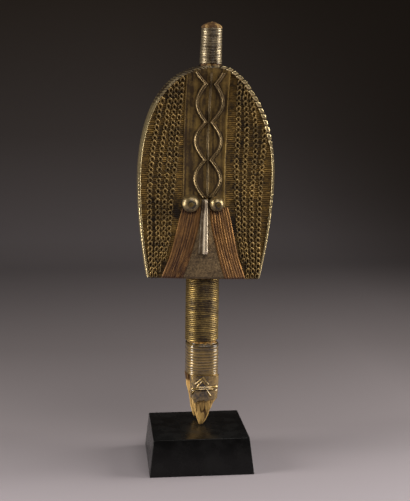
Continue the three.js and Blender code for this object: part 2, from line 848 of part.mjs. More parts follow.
// Column of stitched links from the chin or the copper band up to the rim, narrower where its neighbours are near.
function stitchColumn(side, number) {
  const middle = (z) => columnMiddle(side, number, z);
  const halfAt = (z) => {
    const neighbours = [number - 1, number + 1].filter((n) => n >= 0 && n < columnsPerSide);
    const near = neighbours.map((n) => Math.abs(columnMiddle(side, n, z) - middle(z)));
    return Math.min(linkWidth, ...near.map((distance) => distance - gap)) / 2;
  };
  const fits = (z) => {
    const half = halfAt(z);
    const tall = linkWidth / 2;
    const outside = side * (middle(z) + half);
    const room = Math.min(roomAt(outside, z - tall), roomAt(outside, z + tall));
    const panelSide = panelWidth / 2 + Math.abs(panelCentreX);
    const band = z < cheekTop + tall ? edgeAt(bandOuter, z - tall) + side * faceCentreX : panelSide;
    return room > rimLip + gap && middle(z) - half > band + gap;
  };
  const rows = Math.floor(headHeight / (linkPitch / 2));
  const stations = Array.from({ length: rows }, (_, i) => {
    const wide = i % 2 === 0;
    const z = (linkWidth + i * linkPitch) / 2;
    return {
      x: side * middle(z),
      z,
      half: wide ? halfAt(z) : Math.min(linkWaist / 2, halfAt(z)),
      topHalf: 0,
      height: wide ? linkHeight : linkDip,
    };
  });
  return barOn(faceFacets, stations.filter(({ z }) => fits(z)), plateLow);
}

function backLaminae() {
  const outline = prism(headOutline(0, backSheetBottom), farFront, farBack);
  return flared(backLayer(sheetLow, sheetHigh).intersect(outline));
}

function backStrip() {
  const half = backStripWidth / 2;
  const top = headHeight - rimLip;
  const outline = [[-half, backSheetBottom], [half, backSheetBottom], [half, top], [-half, top]];
  return flared(backLayer(plateLow, plateHigh).intersect(prism(outline, farFront, farBack)));
}

// Materials

const paints = {
  black: { color: 0x161616, roughness: 0.35, metalness: 0 },
  wood: { color: 0xb98a4e, roughness: 0.75, metalness: 0 },
  brass: { color: 0x5a4a30, roughness: 0.45, metalness: 0.9 },
  brightBrass: { color: 0xa08455, roughness: 0.35, metalness: 0.95 },
  copper: { color: 0x8a5430, roughness: 0.5, metalness: 0.9 },
  greyBrass: { color: 0x6c604c, roughness: 0.5, metalness: 0.85 },
};

function named(name, solid, paint) {
  const mesh = new THREE.Mesh(toGeometry(solid), new THREE.MeshStandardMaterial(paints[paint]));
  mesh.name = name;
  return mesh;
}

// Assembly

const group = new THREE.Group();
group.add(named("stand_block", standBlock(), "black"));

const figure = new THREE.Group();
figure.position.set(figureX, figureY, standHeight);
figure.rotation.set(0, degToRad(neckLean), degToRad(figureTurn));
group.add(figure);
figure.add(
  named("wood_core", woodCore(), "wood"),
  named("neck_wrap", neckWrap(), "brightBrass"),
  named("shoulder_bands", shoulderBands(), "brightBrass"),
  named("motif_sheet", motifSheet(), "brightBrass"),
);

const head = new THREE.Group();
head.applyMatrix4(headPlace);
figure.add(head);
head.add(
  named("topknot_wrap", topknotWrap(), "brightBrass"),
  named("face_laminae", faceLaminae(), "brass"),
  named("rim_binding", rimBinding(), "brightBrass"),
  named("forehead_plate", foreheadPlate(), "brass"),
  named("forehead_rib", foreheadRib(), "greyBrass"),
  named("nose_blade", noseBlade(), "greyBrass"),
  named("cheek_plate", cheekPlate(), "greyBrass"),
  named("back_laminae", backLaminae(), "brass"),
  named("back_strip", backStrip(), "greyBrass"),
);
for (const [word, side] of [["left", -1], ["right", 1]]) {
  head.add(
    named(`interlace_${word}`, interlaceStrand(side), "greyBrass"),
    named(`eye_${word}`, eyeDome(side), "greyBrass"),
    named(`eye_pin_${word}`, eyePin(side), "brightBrass"),
    named(`copper_band_${word}`, copperBand(side), "copper"),
  );
  for (let number = 0; number < columnsPerSide; number++)
    head.add(named(`stitch_column_${word}_${number + 1}`, stitchColumn(side, number), "brass"));
}

export default group;
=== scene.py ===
"""A kota reliquary figure on its black block: carved wood under wire, strip brass and copper."""
import contextlib
import itertools
import math

import bpy
import numpy as np
from mathutils import Matrix, Vector


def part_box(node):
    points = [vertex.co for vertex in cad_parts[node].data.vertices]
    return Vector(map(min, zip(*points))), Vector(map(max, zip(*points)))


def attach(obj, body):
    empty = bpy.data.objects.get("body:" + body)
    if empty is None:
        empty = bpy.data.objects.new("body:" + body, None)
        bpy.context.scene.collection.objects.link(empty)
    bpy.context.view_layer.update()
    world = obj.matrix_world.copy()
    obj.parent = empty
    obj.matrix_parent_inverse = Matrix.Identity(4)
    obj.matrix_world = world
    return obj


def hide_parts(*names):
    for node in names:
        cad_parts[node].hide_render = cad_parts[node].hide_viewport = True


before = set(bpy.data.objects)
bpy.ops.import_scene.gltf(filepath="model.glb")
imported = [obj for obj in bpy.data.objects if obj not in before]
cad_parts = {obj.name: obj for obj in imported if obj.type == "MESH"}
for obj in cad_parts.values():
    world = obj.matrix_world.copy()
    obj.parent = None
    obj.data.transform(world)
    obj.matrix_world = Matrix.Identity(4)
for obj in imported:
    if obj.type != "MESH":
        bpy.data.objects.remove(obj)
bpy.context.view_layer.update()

bl_info = {
    "name": "Reliquary figure",
    "version": (1, 0, 0),
    "blender": (4, 5, 0),
    "location": "3D Viewport > Sidebar > Reliquary",
    "description": "Builds the figure's wood, wire, strips and plates over its CAD frame",
    "category": "Object",
}

MM = 0.001
TURN = 2 * math.pi

# The head board, in millimetres: x across, y away from the viewer and z up from the chin
HALF_WIDTH = 67.2
CHIN_HALF_WIDTH = 55.9
HEIGHT = 209.2
WIDEST = 100.0
MIDDLE_X = -0.9
CROWN = 2.15
CHEEK = 1.8

# Places on the face
FACE_X = -1.6
CHEEK_TOP = 71.5
EYES_X = -3.7
EYE_SPREAD = 13.1
EYE_HEIGHT = 75.0
PIN_RADIUS = 2.80326
PIN_DEPTH = 1.69449
PANEL_LEFT = 24.7
PANEL_RIGHT = 18.7
TOP_WAIST = 192.4
WAIST_PITCH = 37.2

# How far the strips, the plates, the relief on the plates and the eyes stand off the face
STRIPS = 1.5
PLATES = 2.3
RELIEF = 2.9
EYE_SEAT = 3.3
EYE_BULGE = 8.4

# Topknot, neck, shoulder and foot
KNOT_X = 0.8
KNOT_RADIUS = 10.0
KNOT_TAPER = 1.2
KNOT_WIRE_FOOT = 211.3
KNOT_WIRE_TOP = 247.3
KNOT_TOP = 253.8
NECK_RADIUS = 15.4
NECK_WIRE_TOP = 151.4
WRAP_BOTTOM = 85.6
BANDS_BOTTOM = 53.4
LEG_HALF_WIDTH = 14.9
LEG_HALF_DEPTH = 18.2
SHOULDER = (0.4, 14.9, -18.2, 17.2)
SQUARENESS = 0.72
GAP = 0.3

FIGURE_PLACE = (4.2, 13, 36.2)
FIGURE = (
    Matrix.Translation(FIGURE_PLACE)
    @ Matrix.Rotation(math.radians(0.9), 4, "Y")
    @ Matrix.Rotation(math.radians(2.5), 4, "Z")
)
HEAD = FIGURE @ Matrix.Translation((0, 0, 152)) @ Matrix.Rotation(math.radians(1.1), 4, "Y")


# Settings


def length(name, millimetres, description):
    return bpy.props.FloatProperty(
        name=name, description=description, default=millimetres * MM, min=0, precision=5, unit="LENGTH"
    )


def colour(name, rgb, description):
    return bpy.props.FloatVectorProperty(
        name=name, description=description, default=rgb, size=3, min=0, max=1, subtype="COLOR"
    )


class ReliquarySizes(bpy.types.PropertyGroup):
    """Sizes of the figure's fine work"""

    strip_pitch: length("Strip pitch", 1.9, "Height of one strip of brass on the face")
    strip_groove: length("Strip groove", 0.4, "Depth of the joint between two strips")
    neck_pitch: length("Neck wire pitch", 1.9, "Rise of one turn of wire round the neck")
    neck_wire: length("Neck wire", 1.5, "Thickness of the wire round the neck")
    knot_pitch: length("Topknot wire pitch", 1.45, "Rise of one turn of wire round the topknot")
    knot_wire: length("Topknot wire", 1.2, "Thickness of the wire round the topknot")
    bead_pitch: length("Rim bead pitch", 6.7, "Distance between two turns of the rim binding")
    bead_height: length("Rim bead height", 0.85, "How far the turns of the rim stand out at the crown")
    link_pitch: length("Stitch pitch", 5.2, "Distance between two stitches of a column")
    link_width: length("Stitch width", 5.6, "Width of a stitch")
    link_wire: length("Stitch wire", 1.6, "Thickness of a stitch's wire")
    wood_grain: length("Grain depth", 0.5, "Depth of the weathered grain of the foot")


class ReliquaryColours(bpy.types.PropertyGroup):
    """Colours of the figure, its block and the stage"""

    brass_lit: colour("Brass, worn", (0.35, 0.215, 0.062), "Brass where handling keeps it bright")
    brass_dark: colour("Brass, tarnished", (0.020, 0.011, 0.004), "Brass in its hollows")
    link_lit: colour("Stitches, worn", (0.56, 0.375, 0.135), "Stitched links on their crests")
    panel_lit: colour("Forehead, worn", (0.42, 0.27, 0.075), "Plate of the forehead, worn")
    panel_dark: colour("Forehead, tarnished", (0.06, 0.033, 0.010), "Plate of the forehead in its streaks")
    pale_lit: colour("Nose, worn", (1.0, 0.86, 0.66), "Pale metal of the nose")
    pale_dark: colour("Nose, dull", (0.10, 0.066, 0.034), "Pale metal in its hollows")
    grain_lit: colour("Cheek plate, worn", (0.54, 0.375, 0.19), "Plate under the nose, worn")
    grain_dark: colour("Cheek plate, dull", (0.10, 0.066, 0.036), "Plate under the nose in its pits")
    rim_lit: colour("Rim, worn", (0.92, 0.73, 0.38), "Binding of the rim, worn")
    eye_lit: colour("Eyes, worn", (0.56, 0.42, 0.20), "Eyes where they are worn")
    eye_dark: colour("Eyes, dull", (0.035, 0.025, 0.014), "Eyes in their hollows")
    wire_lit: colour("Wire, worn", (0.60, 0.415, 0.135), "Bright wire of the neck, and the pins")
    knot_lit: colour("Topknot wire, worn", (0.70, 0.57, 0.36), "Paler wire of the topknot")
    band_lit: colour("Bands, worn", (0.66, 0.44, 0.14), "Bands and motif sheet")
    wire_dark: colour("Wire, tarnished", (0.045, 0.025, 0.008), "Wire in its hollows")
    grey_lit: colour("Grey brass, worn", (0.52, 0.375, 0.19), "Worn grey brass")
    grey_dark: colour("Grey brass, dull", (0.05, 0.032, 0.013), "Grey brass in its hollows")
    copper_lit: colour("Copper, worn", (0.62, 0.325, 0.115), "Copper on its ridges")
    copper_dark: colour("Copper, tarnished", (0.075, 0.032, 0.016), "Copper in its hollows")
    wood_light: colour("Wood, light", (0.90, 0.57, 0.19), "Wood on its raised grain")
    wood_dark: colour("Wood, dark", (0.10, 0.045, 0.012), "Wood in its splits")
    lacquer: colour("Block", (0.004, 0.004, 0.004), "Black of the block")
    floor: colour("Floor", (0.57, 0.525, 0.58), "Pale floor")
    backdrop: colour("Backdrop", (0.079, 0.0625, 0.051), "Far end of the backdrop")


# Shapes shared with the CAD model


def mix(a, b, t):
    return a + (b - a) * t


def smooth(value, low, high):
    t = np.clip((value - low) / (high - low), 0, 1)
    return t * t * (3 - 2 * t)


def bell(value, width):
    """1 where the value is 0, falling off to both sides."""
    return np.exp(-((value / width) ** 2))


def plane(x, z):
    return np.column_stack((x, 0 * z, z))


def circle(angle, radius, z, x=0.0):
    return np.column_stack((x + radius * np.cos(angle), radius * np.sin(angle), z))


def half_width(z):
    z = np.asarray(z, float)
    low = HALF_WIDTH - (HALF_WIDTH - CHIN_HALF_WIDTH) * np.clip((WIDEST - z) / WIDEST, 0, 2) ** CHEEK
    up = np.clip((z - WIDEST) / (HEIGHT - WIDEST), 0, 1)
    return np.where(z < WIDEST, low, HALF_WIDTH * (1 - up**CROWN) ** (1 / CROWN))


# Degrees round the crown from its right, and how far it stands out there, in thousandths of its height
SWELL = np.array([
    (0, 0), (45, -1), (63, -4), (72, 3), (80, 9), (90, 1), (100, -7), (112, -5), (128, -1), (180, 0),
])


def swell(across, rise):
    """How far the crown stands out of its curve: fuller at the right of the topknot, flatter at its left."""
    degrees = np.degrees(np.arctan2(np.maximum(rise, 0), across))
    i = np.clip(np.searchsorted(SWELL[:, 0], degrees, "right"), 1, len(SWELL) - 1)
    t = smooth(degrees, SWELL[i - 1, 0], SWELL[i, 0])
    return np.where(rise > 0, mix(SWELL[i - 1, 1], SWELL[i, 1], t) * HEIGHT / 1000, 0)


def room_at(x, z):
    """How far a point of the face lies inside the outline."""
    across, rise = x - MIDDLE_X, z - WIDEST
    reach = np.maximum(np.hypot(across, rise), 1e-6)
    power = np.abs(across / HALF_WIDTH) ** CROWN + (np.maximum(rise, 0) / (HEIGHT - WIDEST)) ** CROWN
    above = reach / np.maximum(power, 1e-9) ** (1 / CROWN) + swell(across, rise) - reach
    return np.where(rise > 0, above, half_width(z) - np.abs(across))


def head_edge():
    """The outline from the right of the chin over the crown to the left of the chin."""
    low = np.linspace(0, WIDEST, 400)
    angle = np.linspace(0, math.pi / 2, 1200)[1:]
    x = np.concatenate((half_width(low), HALF_WIDTH * np.cos(angle).clip(0) ** (2 / CROWN)))
    z = np.concatenate((low, WIDEST + (HEIGHT - WIDEST) * np.sin(angle) ** (2 / CROWN)))
    x = np.concatenate((x, -x[-2::-1]))
    z = np.concatenate((z, z[-2::-1]))
    rise = np.maximum(z - WIDEST, 0)
    out = swell(x, rise) / np.hypot(x, rise)
    return MIDDLE_X + x * (1 + out), np.where(z < WIDEST, z, WIDEST + rise * (1 + out))


EDGE_X, EDGE_Z = head_edge()
APEX = int(np.argmax(EDGE_Z))
TOP = float(EDGE_Z[APEX])


def crown_height(x):
    upper = EDGE_Z > WIDEST
    return np.interp(x, EDGE_X[upper][::-1], EDGE_Z[upper][::-1])


def edge_x(z, side):
    """Where the outline crosses a height, at the right of the head for 1 and at its left for -1."""
    if side > 0:
        return np.interp(z, EDGE_Z[: APEX + 1], EDGE_X[: APEX + 1])
    rising = np.maximum.accumulate(EDGE_Z[:APEX:-1])
    return np.interp(z, rising, EDGE_X[:APEX:-1])


def across_head(u, z, grown=0.0):
    return mix(edge_x(z, -1) - grown, edge_x(z, 1) + grown, u)


def face(x, z):
    up = np.clip(z / HEIGHT, 0, 1)
    dish = 12.5 * np.sin(math.pi * up**1.94)
    bow = mix(-7.0, 7.0, smooth(z, 0, 150))
    return dish - mix(18.0, 14.0, up) - bow * (x / HALF_WIDTH) ** 2


def back(x, z):
    up = np.clip(z / HEIGHT, 0, 1)
    return mix(13.0, 12.5, up) - mix(22.0, 2.0, up) * (x / HALF_WIDTH) ** 2


def flared(points):
    """The edge of the head opens a little towards the back, most at the crown."""
    x, y, z = points.T
    depth = np.maximum(0, y - face(x, z))
    rise = z - WIDEST
    reach = np.maximum(np.hypot(x, rise), 1)
    out = 0.07 * smooth(z, 120, HEIGHT) * depth / reach
    return np.column_stack((x * (1 + out), y, z + rise * out))


def on_face(x, z, height):
    return np.column_stack((x, face(x, z) - height, z))


def on_back(x, z, height):
    return flared(np.column_stack((x, back(x, z) + height, z)))


def outline(samples):
    """Points along the head's outline, their outward directions and the run up to them."""
    above = EDGE_Z >= 0.6
    x, z = EDGE_X[above], EDGE_Z[above]
    run = np.concatenate(([0], np.cumsum(np.hypot(np.diff(x), np.diff(z)))))
    at = samples * run[-1]
    px, pz = np.interp(at, run, x), np.interp(at, run, z)
    dx = np.interp(at + 2, run, x) - np.interp(at - 2, run, x)
    dz = np.interp(at + 2, run, z) - np.interp(at - 2, run, z)
    size = np.maximum(np.hypot(dx, dz), 1e-6)
    return px, pz, dz / size, -dx / size, at


def knot_radius(z):
    return KNOT_RADIUS - KNOT_TAPER * (z - HEIGHT) / (KNOT_TOP - HEIGHT)


def superellipse(angle, middle_x, half, front, far, grown=0.0):
    c, s = np.cos(angle), np.sin(angle)
    x = middle_x + (half + grown) * np.sign(c) * np.abs(c) ** SQUARENESS
    y = (front + far) / 2 + ((far - front) / 2 + grown) * np.sign(s) * np.abs(s) ** SQUARENESS
    return x, y


def leg(*rows):
    """Levels of a leg, from its tip up: height, x, half width, front and back."""
    top = BANDS_BOTTOM - GAP
    scale = (LEG_HALF_WIDTH, LEG_HALF_WIDTH, LEG_HALF_DEPTH, LEG_HALF_DEPTH)
    return np.array([(max(up * top, 0.3), *np.multiply(row, scale)) for up, *row in rows[::-1]])


# Shares of the leg's height and of its half width and half depth, from the top down
FRONT_LEG = leg(
    (1, 0.128, 0.913, -0.967, -0.242), (0.9, 0.128, 0.906, -0.967, -0.275),
    (0.505, 0.121, 0.839, -0.934, -0.275), (0.414, 0.02, 0.744, -0.923, -0.302),
    (0.245, -0.013, 0.504, -0.89, -0.385), (0.113, -0.047, 0.322, -0.846, -0.516),
    (0, -0.094, 0.121, -0.78, -0.648),
)
BACK_LEG = leg(
    (1, -0.047, 0.987, 0.495, 0.923), (0.9, -0.047, 0.973, 0.527, 0.934), (0.697, -0.02, 0.899, 0.44, 0.934),
    (0.527, 0.007, 0.805, 0.33, 0.907), (0.377, -0.051, 0.655, 0.302, 0.852),
    (0.226, -0.145, 0.448, 0.33, 0.769), (0.132, -0.221, 0.262, 0.385, 0.687),
    (0.045, -0.295, 0.074, 0.473, 0.582),
)
WEB = leg(
    (0.99, 0.033, 0.765, -0.495, 0.659), (0.621, 0.033, 0.779, -0.495, 0.659),
    (0.471, 0, 0.658, -0.467, 0.495), (0.358, 0, 0.403, -0.412, 0.357),
)


def section(levels, z):
    return [np.interp(z, levels[:, 0], levels[:, i]) for i in range(1, 5)]


# Stitched columns at each side, the outer one first: their share of the way from the panel to the edge
COLUMN_HEIGHTS = (0.03, 0.2, 0.38, 0.56, 0.72, 0.845)
COLUMNS = {
    -1: (
        (0.934, 0.843, 0.807, 0.767, 0.758, 0.903), (0.813, 0.629, 0.61, 0.555, 0.512, 0.613),
        (0.688, 0.486, 0.44, 0.349, 0.317, 0.385), (0.579, 0.348, 0.266, 0.184, 0.163, 0.161),
    ),
    1: (
        (0.922, 0.753, 0.699, 0.725, 0.892, 1.27), (0.758, 0.564, 0.487, 0.545, 0.643, 0.712),
        (0.605, 0.37, 0.305, 0.319, 0.395, 0.443), (0.474, 0.235, 0.128, 0.108, 0.149, 0.17),
    ),
}


def column_middle(z, number, side):
    """How far a stitched column runs from the middle of the head."""
    level = np.clip(z, 0, COLUMN_HEIGHTS[-1] * HEIGHT)
    share = np.interp(level / HEIGHT, COLUMN_HEIGHTS, COLUMNS[side][number])
    return PANEL_LEFT + (half_width(level) - 1.2 - PANEL_LEFT) * share


def strand_middle(turn, side):
    """Where a strand of the interlace runs. turn counts its periods up from the topmost waist."""
    waist = 3.0 + 1.2 * smooth(turn, -0.6, 0.0)
    spread = np.abs(np.sin(math.pi * turn))
    flare = 1.5 if side < 0 else 1.0
    reach = waist + (12.9 - waist) * spread * np.where(turn > 0, flare, 1)
    return 0.1 + 0.6 * smooth(turn, -1.0, 0.0) + side * reach - (1.2 * smooth(turn, -0.5, 0.0) if side < 0 else 0)


def spline(points, count=400):
    """A curve that runs evenly through its points."""
    points = np.array([2 * points[0] - points[1], *points, 2 * points[-1] - points[-2]], float)
    made = []
    for i in range(len(points) - 3):
        a, b, c, d = points[i : i + 4]
        t = np.linspace(0, 1, count // (len(points) - 3))[:, None]
        made.append(
            0.5 * (2 * b + (c - a) * t + (2 * a - 5 * b + 4 * c - d) * t**2 + (3 * b - a - 3 * c + d) * t**3)
        )
    return np.concatenate(made)


def band_edge(bottom, top, rows):
    return spline(np.array([(mix(top, bottom, across), up * CHEEK_TOP) for across, up in rows]))


BAND_INNER = band_edge(21.4, 4.6, [(1, 0), (0.66, 0.24), (0.32, 0.52), (0.09, 0.77), (0, 1)])
BAND_OUTER = band_edge(42.6, 22.6, [(1, 0), (0.62, 0.3), (0.34, 0.61), (0.15, 0.84), (0, 1)])


def edge_at(curve, z):
    return np.interp(z, curve[:, 1], curve[:, 0])


def lumps(points, size, seed=0):
    """Smooth noise from -1 to 1 over points in millimetres. size is a lump's size, one number or three."""
    p = points / np.asarray(size, float)
    cell = np.floor(p).astype(np.int64)
    s = p - cell
    s = s * s * (3 - 2 * s)
    total = np.zeros(len(points))
    for corner in itertools.product((0, 1), repeat=3):
        at = cell + corner
        h = (at[:, 0] * 73856093) ^ (at[:, 1] * 19349663) ^ (at[:, 2] * 83492791) ^ (seed * 2654435761)
        h = (h ^ (h >> 13)) * 1274126177 & 0xFFFFFFFF
        h = (h ^ (h >> 15)) * 2246822519 & 0xFFFFFFFF
        value = ((h ^ (h >> 16)) & 0xFFFF) / 32767.5 - 1
        total += value * np.prod(np.where(corner, s, 1 - s), axis=1)
    return total


# Modelling helpers


def clear():
    if bpy.context.object and bpy.context.object.mode != "OBJECT":
        bpy.ops.object.mode_set(mode="OBJECT")
    bpy.ops.object.select_all(action="DESELECT")


def pick(piece):
    clear()
    piece.select_set(True)
    bpy.context.view_layer.objects.active = piece


@contextlib.contextmanager
def edit(piece, wanted=None):
    """Edit mode, with the whole piece selected or only the faces that pass a test."""
    pick(piece)
    bpy.ops.object.mode_set(mode="EDIT")
    bpy.ops.mesh.select_all(action="DESELECT" if wanted else "SELECT")
    if wanted:
        bpy.ops.object.mode_set(mode="OBJECT")
        piece.data.polygons.foreach_set("select", [wanted(polygon) for polygon in piece.data.polygons])
        bpy.ops.object.mode_set(mode="EDIT")
    yield
    bpy.ops.object.mode_set(mode="OBJECT")


def fresh(name):
    """Names the piece that was just added and applies its place."""
    piece = bpy.context.object
    piece.name = piece.data.name = name
    pick(piece)
    bpy.ops.object.transform_apply(location=True, rotation=True, scale=True)
    return piece


def vectors(piece, key="co"):
    values = np.empty(len(piece.data.vertices) * 3)
    piece.data.vertices.foreach_get(key, values)
    return values.reshape(-1, 3)


def put(piece, points, matrix=None):
    """Moves a piece's vertices to points in millimetres, through the matrix of the figure or of its head."""
    if matrix is not None:
        m = np.array(matrix)
        points = points @ m[:3, :3].T + m[:3, 3]
    piece.data.vertices.foreach_set("co", (points * MM).ravel())
    piece.data.update()


def mark(piece, relief):
    """Keeps the relief, from 0 in a groove to 1 on a ridge, for the materials; some pieces also paint light and shade
    into it.
    """
    layers = piece.data.attributes
    layer = layers.get("relief") or layers.new("relief", "FLOAT", "POINT")
    layer.data.foreach_set("value", np.clip(np.broadcast_to(relief, len(piece.data.vertices)), 0, 1).astype(float))


def modify(piece, kind, **values):
    pick(piece)
    bpy.ops.object.modifier_add(type=kind)
    modifier = piece.modifiers[-1]
    for key, value in values.items():
        setattr(modifier, key, value)
    bpy.ops.object.modifier_apply(modifier=modifier.name)


def sheet(name, columns, rows, shape, matrix, thickness=0):
    """A grid pressed into shape, which takes the shares across and up and gives points and relief."""
    clear()
    bpy.ops.mesh.primitive_grid_add(x_subdivisions=columns, y_subdivisions=rows, size=1)
    piece = fresh(name)
    co = vectors(piece)
    points, relief = shape(co[:, 0] + 0.5, co[:, 1] + 0.5)
    put(piece, points, matrix)
    mark(piece, relief)
    if thickness:
        solidify(piece, thickness)
    return piece


def solidify(piece, thickness):
    modify(piece, "SOLIDIFY", thickness=thickness * MM, offset=-1, use_even_offset=False)


def close_up(piece, threshold=0.00001, ends=True):
    """Joins the seam of a rolled grid, fills its ends and turns its faces outwards."""
    with edit(piece):
        bpy.ops.mesh.remove_doubles(threshold=threshold)
        bpy.ops.mesh.select_all(action="SELECT")
        if ends:
            bpy.ops.mesh.fill_holes(sides=0)
            bpy.ops.mesh.select_all(action="SELECT")
        bpy.ops.mesh.normals_make_consistent(inside=False)


def rolled(name, around, along, shape, matrix):
    """A closed tube: a grid rolled up across, its seam joined and its ends filled."""
    piece = sheet(name, around, along, shape, matrix)
    close_up(piece)
    return piece


def joined(name, pieces, voxel):
    """One skin over pieces that overlap."""
    pick(pieces[0])
    for piece in pieces:
        piece.select_set(True)
    bpy.ops.object.join()
    whole = fresh(name)
    modify(whole, "REMESH", mode="VOXEL", voxel_size=voxel * MM, use_smooth_shade=True)
    modify(whole, "SMOOTH", factor=0.5, iterations=2)
    return whole


def profile(across, rise):
    """A closed cross-section: its number of sides, and its width and height at shares of the way round."""
    ring, high = ([*values, values[0]] for values in (across, rise))
    places = np.linspace(0, 1, len(ring))
    return len(across), lambda u: (np.interp(u, places, ring), np.interp(u, places, high))


def dress(piece, finish, *nodes, angle=50):
    """Gives a piece its finish and hides the CAD nodes it stands for."""
    pick(piece)
    bpy.ops.object.shade_smooth_by_angle(angle=math.radians(angle))
    slot, made = finished(finish)
    piece.data.materials.clear()
    piece.data.materials.append(made)
    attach(piece, "root")
    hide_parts(*nodes)
    clear()


# Materials


def connect(tree, made, sockets):
    """Gives inputs their values, or the outputs that feed them."""
    for key, value in sockets.items():
        socket = made.inputs[key]
        if isinstance(value, bpy.types.NodeSocket):
            tree.links.new(value, socket)
        elif socket.type == "RGBA":
            socket.default_value = (*value, 1)
        else:
            socket.default_value = value
    return made


def node(tree, kind, place, sockets=None, **values):
    made = tree.nodes.new(kind)
    made.location = place
    for key, value in values.items():
        setattr(made, key, value)
    return connect(tree, made, sockets or {})


def noise(tree, coordinates, place, lump, detail, roughness):
    values = {"Vector": coordinates, "Scale": 1 / (lump * MM), "Detail": detail, "Roughness": roughness}
    return node(tree, "ShaderNodeTexNoise", place, values).outputs["Fac"]


def remap(tree, value, place, low, high, to_low=0.0, to_high=1.0):
    values = {"Value": value, "From Min": low, "From Max": high, "To Min": to_low, "To Max": to_high}
    return node(tree, "ShaderNodeMapRange", place, values).outputs["Result"]


def calculate(tree, operation, place, a, b=0):
    return node(tree, "ShaderNodeMath", place, {0: a, 1: b}, operation=operation).outputs[0]


def blend(tree, place, factor, a, b):
    return node(tree, "ShaderNodeMix", place, {0: factor, 6: a, 7: b}, data_type="RGBA").outputs[2]


def bump(tree, height, strength, distance):
    values = {"Height": height, "Strength": strength, "Distance": distance * MM}
    return node(tree, "ShaderNodeBump", (200, -300), values).outputs[0]


def object_place(tree, place):
    return node(tree, "ShaderNodeTexCoord", place).outputs["Object"]


def relief_of(tree, place):
    return node(tree, "ShaderNodeAttribute", place, attribute_name="relief").outputs["Fac"]


def patina_group():
    """Wear on ridges and tarnish in hollows, with blotches, specks and fine scratches between; the light and shade
    that some pieces paint into their relief shows through it too.
    """
    tree = bpy.data.node_groups.get("Patina")
    if tree:
        return tree
    tree = bpy.data.node_groups.new("Patina", "ShaderNodeTree")
    names = {"INPUT": ("Worn", "Tarnished", "Wear", "Shine", "Bare", "Mottle"),
             "OUTPUT": ("Color", "Roughness", "Metallic", "Height")}
    for way, name in [(way, name) for way in names for name in names[way]]:
        kind = "NodeSocketColor" if name in ("Worn", "Tarnished", "Color") else "NodeSocketFloat"
        tree.interface.new_socket(name, in_out=way, socket_type=kind)
    given = node(tree, "NodeGroupInput", (-1400, 0)).outputs
    where = object_place(tree, (-1400, -300))
    blotch = noise(tree, where, (-1100, 100), 16, 4, 0.6)
    grain = noise(tree, where, (-1100, -150), 2.2, 4, 0.7)
    speck = noise(tree, where, (-1100, -400), 0.6, 2, 0.5)
    uneven = calculate(tree, "ADD", (-850, 50), remap(tree, blotch, (-900, 200), 0.3, 0.7, -0.28, 0.28),
                       remap(tree, grain, (-900, -150), 0.3, 0.7, -0.22, 0.22))
    mottled = calculate(tree, "MULTIPLY", (-750, 0), uneven, given["Mottle"])
    raised = calculate(tree, "ADD", (-600, 100), relief_of(tree, (-1400, 300)), mottled)
    factor = remap(tree, calculate(tree, "ADD", (-450, 100), raised, given["Wear"]), (-250, 100), 0.2, 1.05)
    base = blend(tree, (0, 200), factor, given["Tarnished"], given["Worn"])
    specks = calculate(tree, "MULTIPLY", (-50, -200), remap(tree, speck, (-250, -300), 0.58, 0.72), 0.35)
    dull = calculate(tree, "ADD", (250, 0), remap(tree, factor, (0, 0), 0, 1, 0.62, 0.34),
                     remap(tree, grain, (0, -150), 0.3, 0.7, -0.08, 0.08))
    metallic = remap(tree, factor, (0, -400), 0, 0.7, 0.45, 1.0)
    fine = calculate(tree, "MULTIPLY", (50, -550), speck, 0.4)
    node(tree, "NodeGroupOutput", (900, 0), {
        "Color": blend(tree, (250, 200), specks, base, given["Tarnished"]),
        "Roughness": calculate(tree, "SUBTRACT", (450, 0), dull, given["Shine"]),
        "Metallic": calculate(tree, "MULTIPLY", (250, -450), metallic, given["Bare"]),
        "Height": calculate(tree, "ADD", (250, -300), grain, fine),
    })
    return tree


def material(name):
    made = bpy.data.materials.new(name)
    made.use_nodes = True
    tree = made.node_tree
    tree.nodes.clear()
    shader = node(tree, "ShaderNodeBsdfPrincipled", (400, 0))
    node(tree, "ShaderNodeOutputMaterial", (700, 0), {0: shader.outputs[0]})
    return made, tree, shader


# Each metal's slot, worn and tarnished colours and finish
METALS = {
    "strip_brass": ("dark_brass", "brass_lit", "brass_dark", {"Wear": -0.05, "Mottle": 0.6}),
    "streaked_brass": ("dark_brass", "panel_lit", "panel_dark",
                       {"Wear": 0.15, "Shine": -0.12, "Bare": 0.4, "Mottle": 0.8}),
    "link_brass": ("dark_brass", "link_lit", "brass_dark",
                   {"Shine": 0.08, "Bare": 0.9, "Coat": 0.25, "Mottle": 0.8}),
    "wound_brass": ("bright_brass", "wire_lit", "wire_dark",
                    {"Wear": -0.12, "Shine": 0.06, "Coat": 0.2, "Mottle": 0.7}),
    "polished_brass": ("bright_brass", "band_lit", "wire_dark",
                       {"Wear": 0.02, "Shine": 0.08, "Bare": 0.8, "Coat": 1.0, "Mottle": 0.7, "Glaze": 1.75}),
    "rim_brass": ("bright_brass", "rim_lit", "wire_dark", {"Wear": 0.1, "Shine": 0.08, "Bare": 0.8, "Coat": 0.8}),
    "knot_brass": ("bright_brass", "knot_lit", "wire_dark",
                   {"Wear": -0.06, "Shine": 0.06, "Coat": 0.8, "Mottle": 0.7}),
    "worn_grey_brass": ("grey_brass", "grey_lit", "grey_dark", {"Shine": 0.05, "Coat": 0.2}),
    "eye_brass": ("grey_brass", "eye_lit", "eye_dark", {"Shine": 0.08, "Bare": 0.9, "Coat": 0.5}),
    "grain_brass": ("grey_brass", "grain_lit", "grain_dark", {"Wear": 0.1, "Bare": 0.4, "Mottle": 0.5}),
    "pale_brass": ("grey_brass", "pale_lit", "pale_dark",
                   {"Wear": 0.22, "Bare": 0.45, "Coat": 0.1, "Mottle": 0.6}),
    "ridged_copper": ("copper", "copper_lit", "copper_dark", {"Bare": 0.8, "Mottle": 0.5}),
}
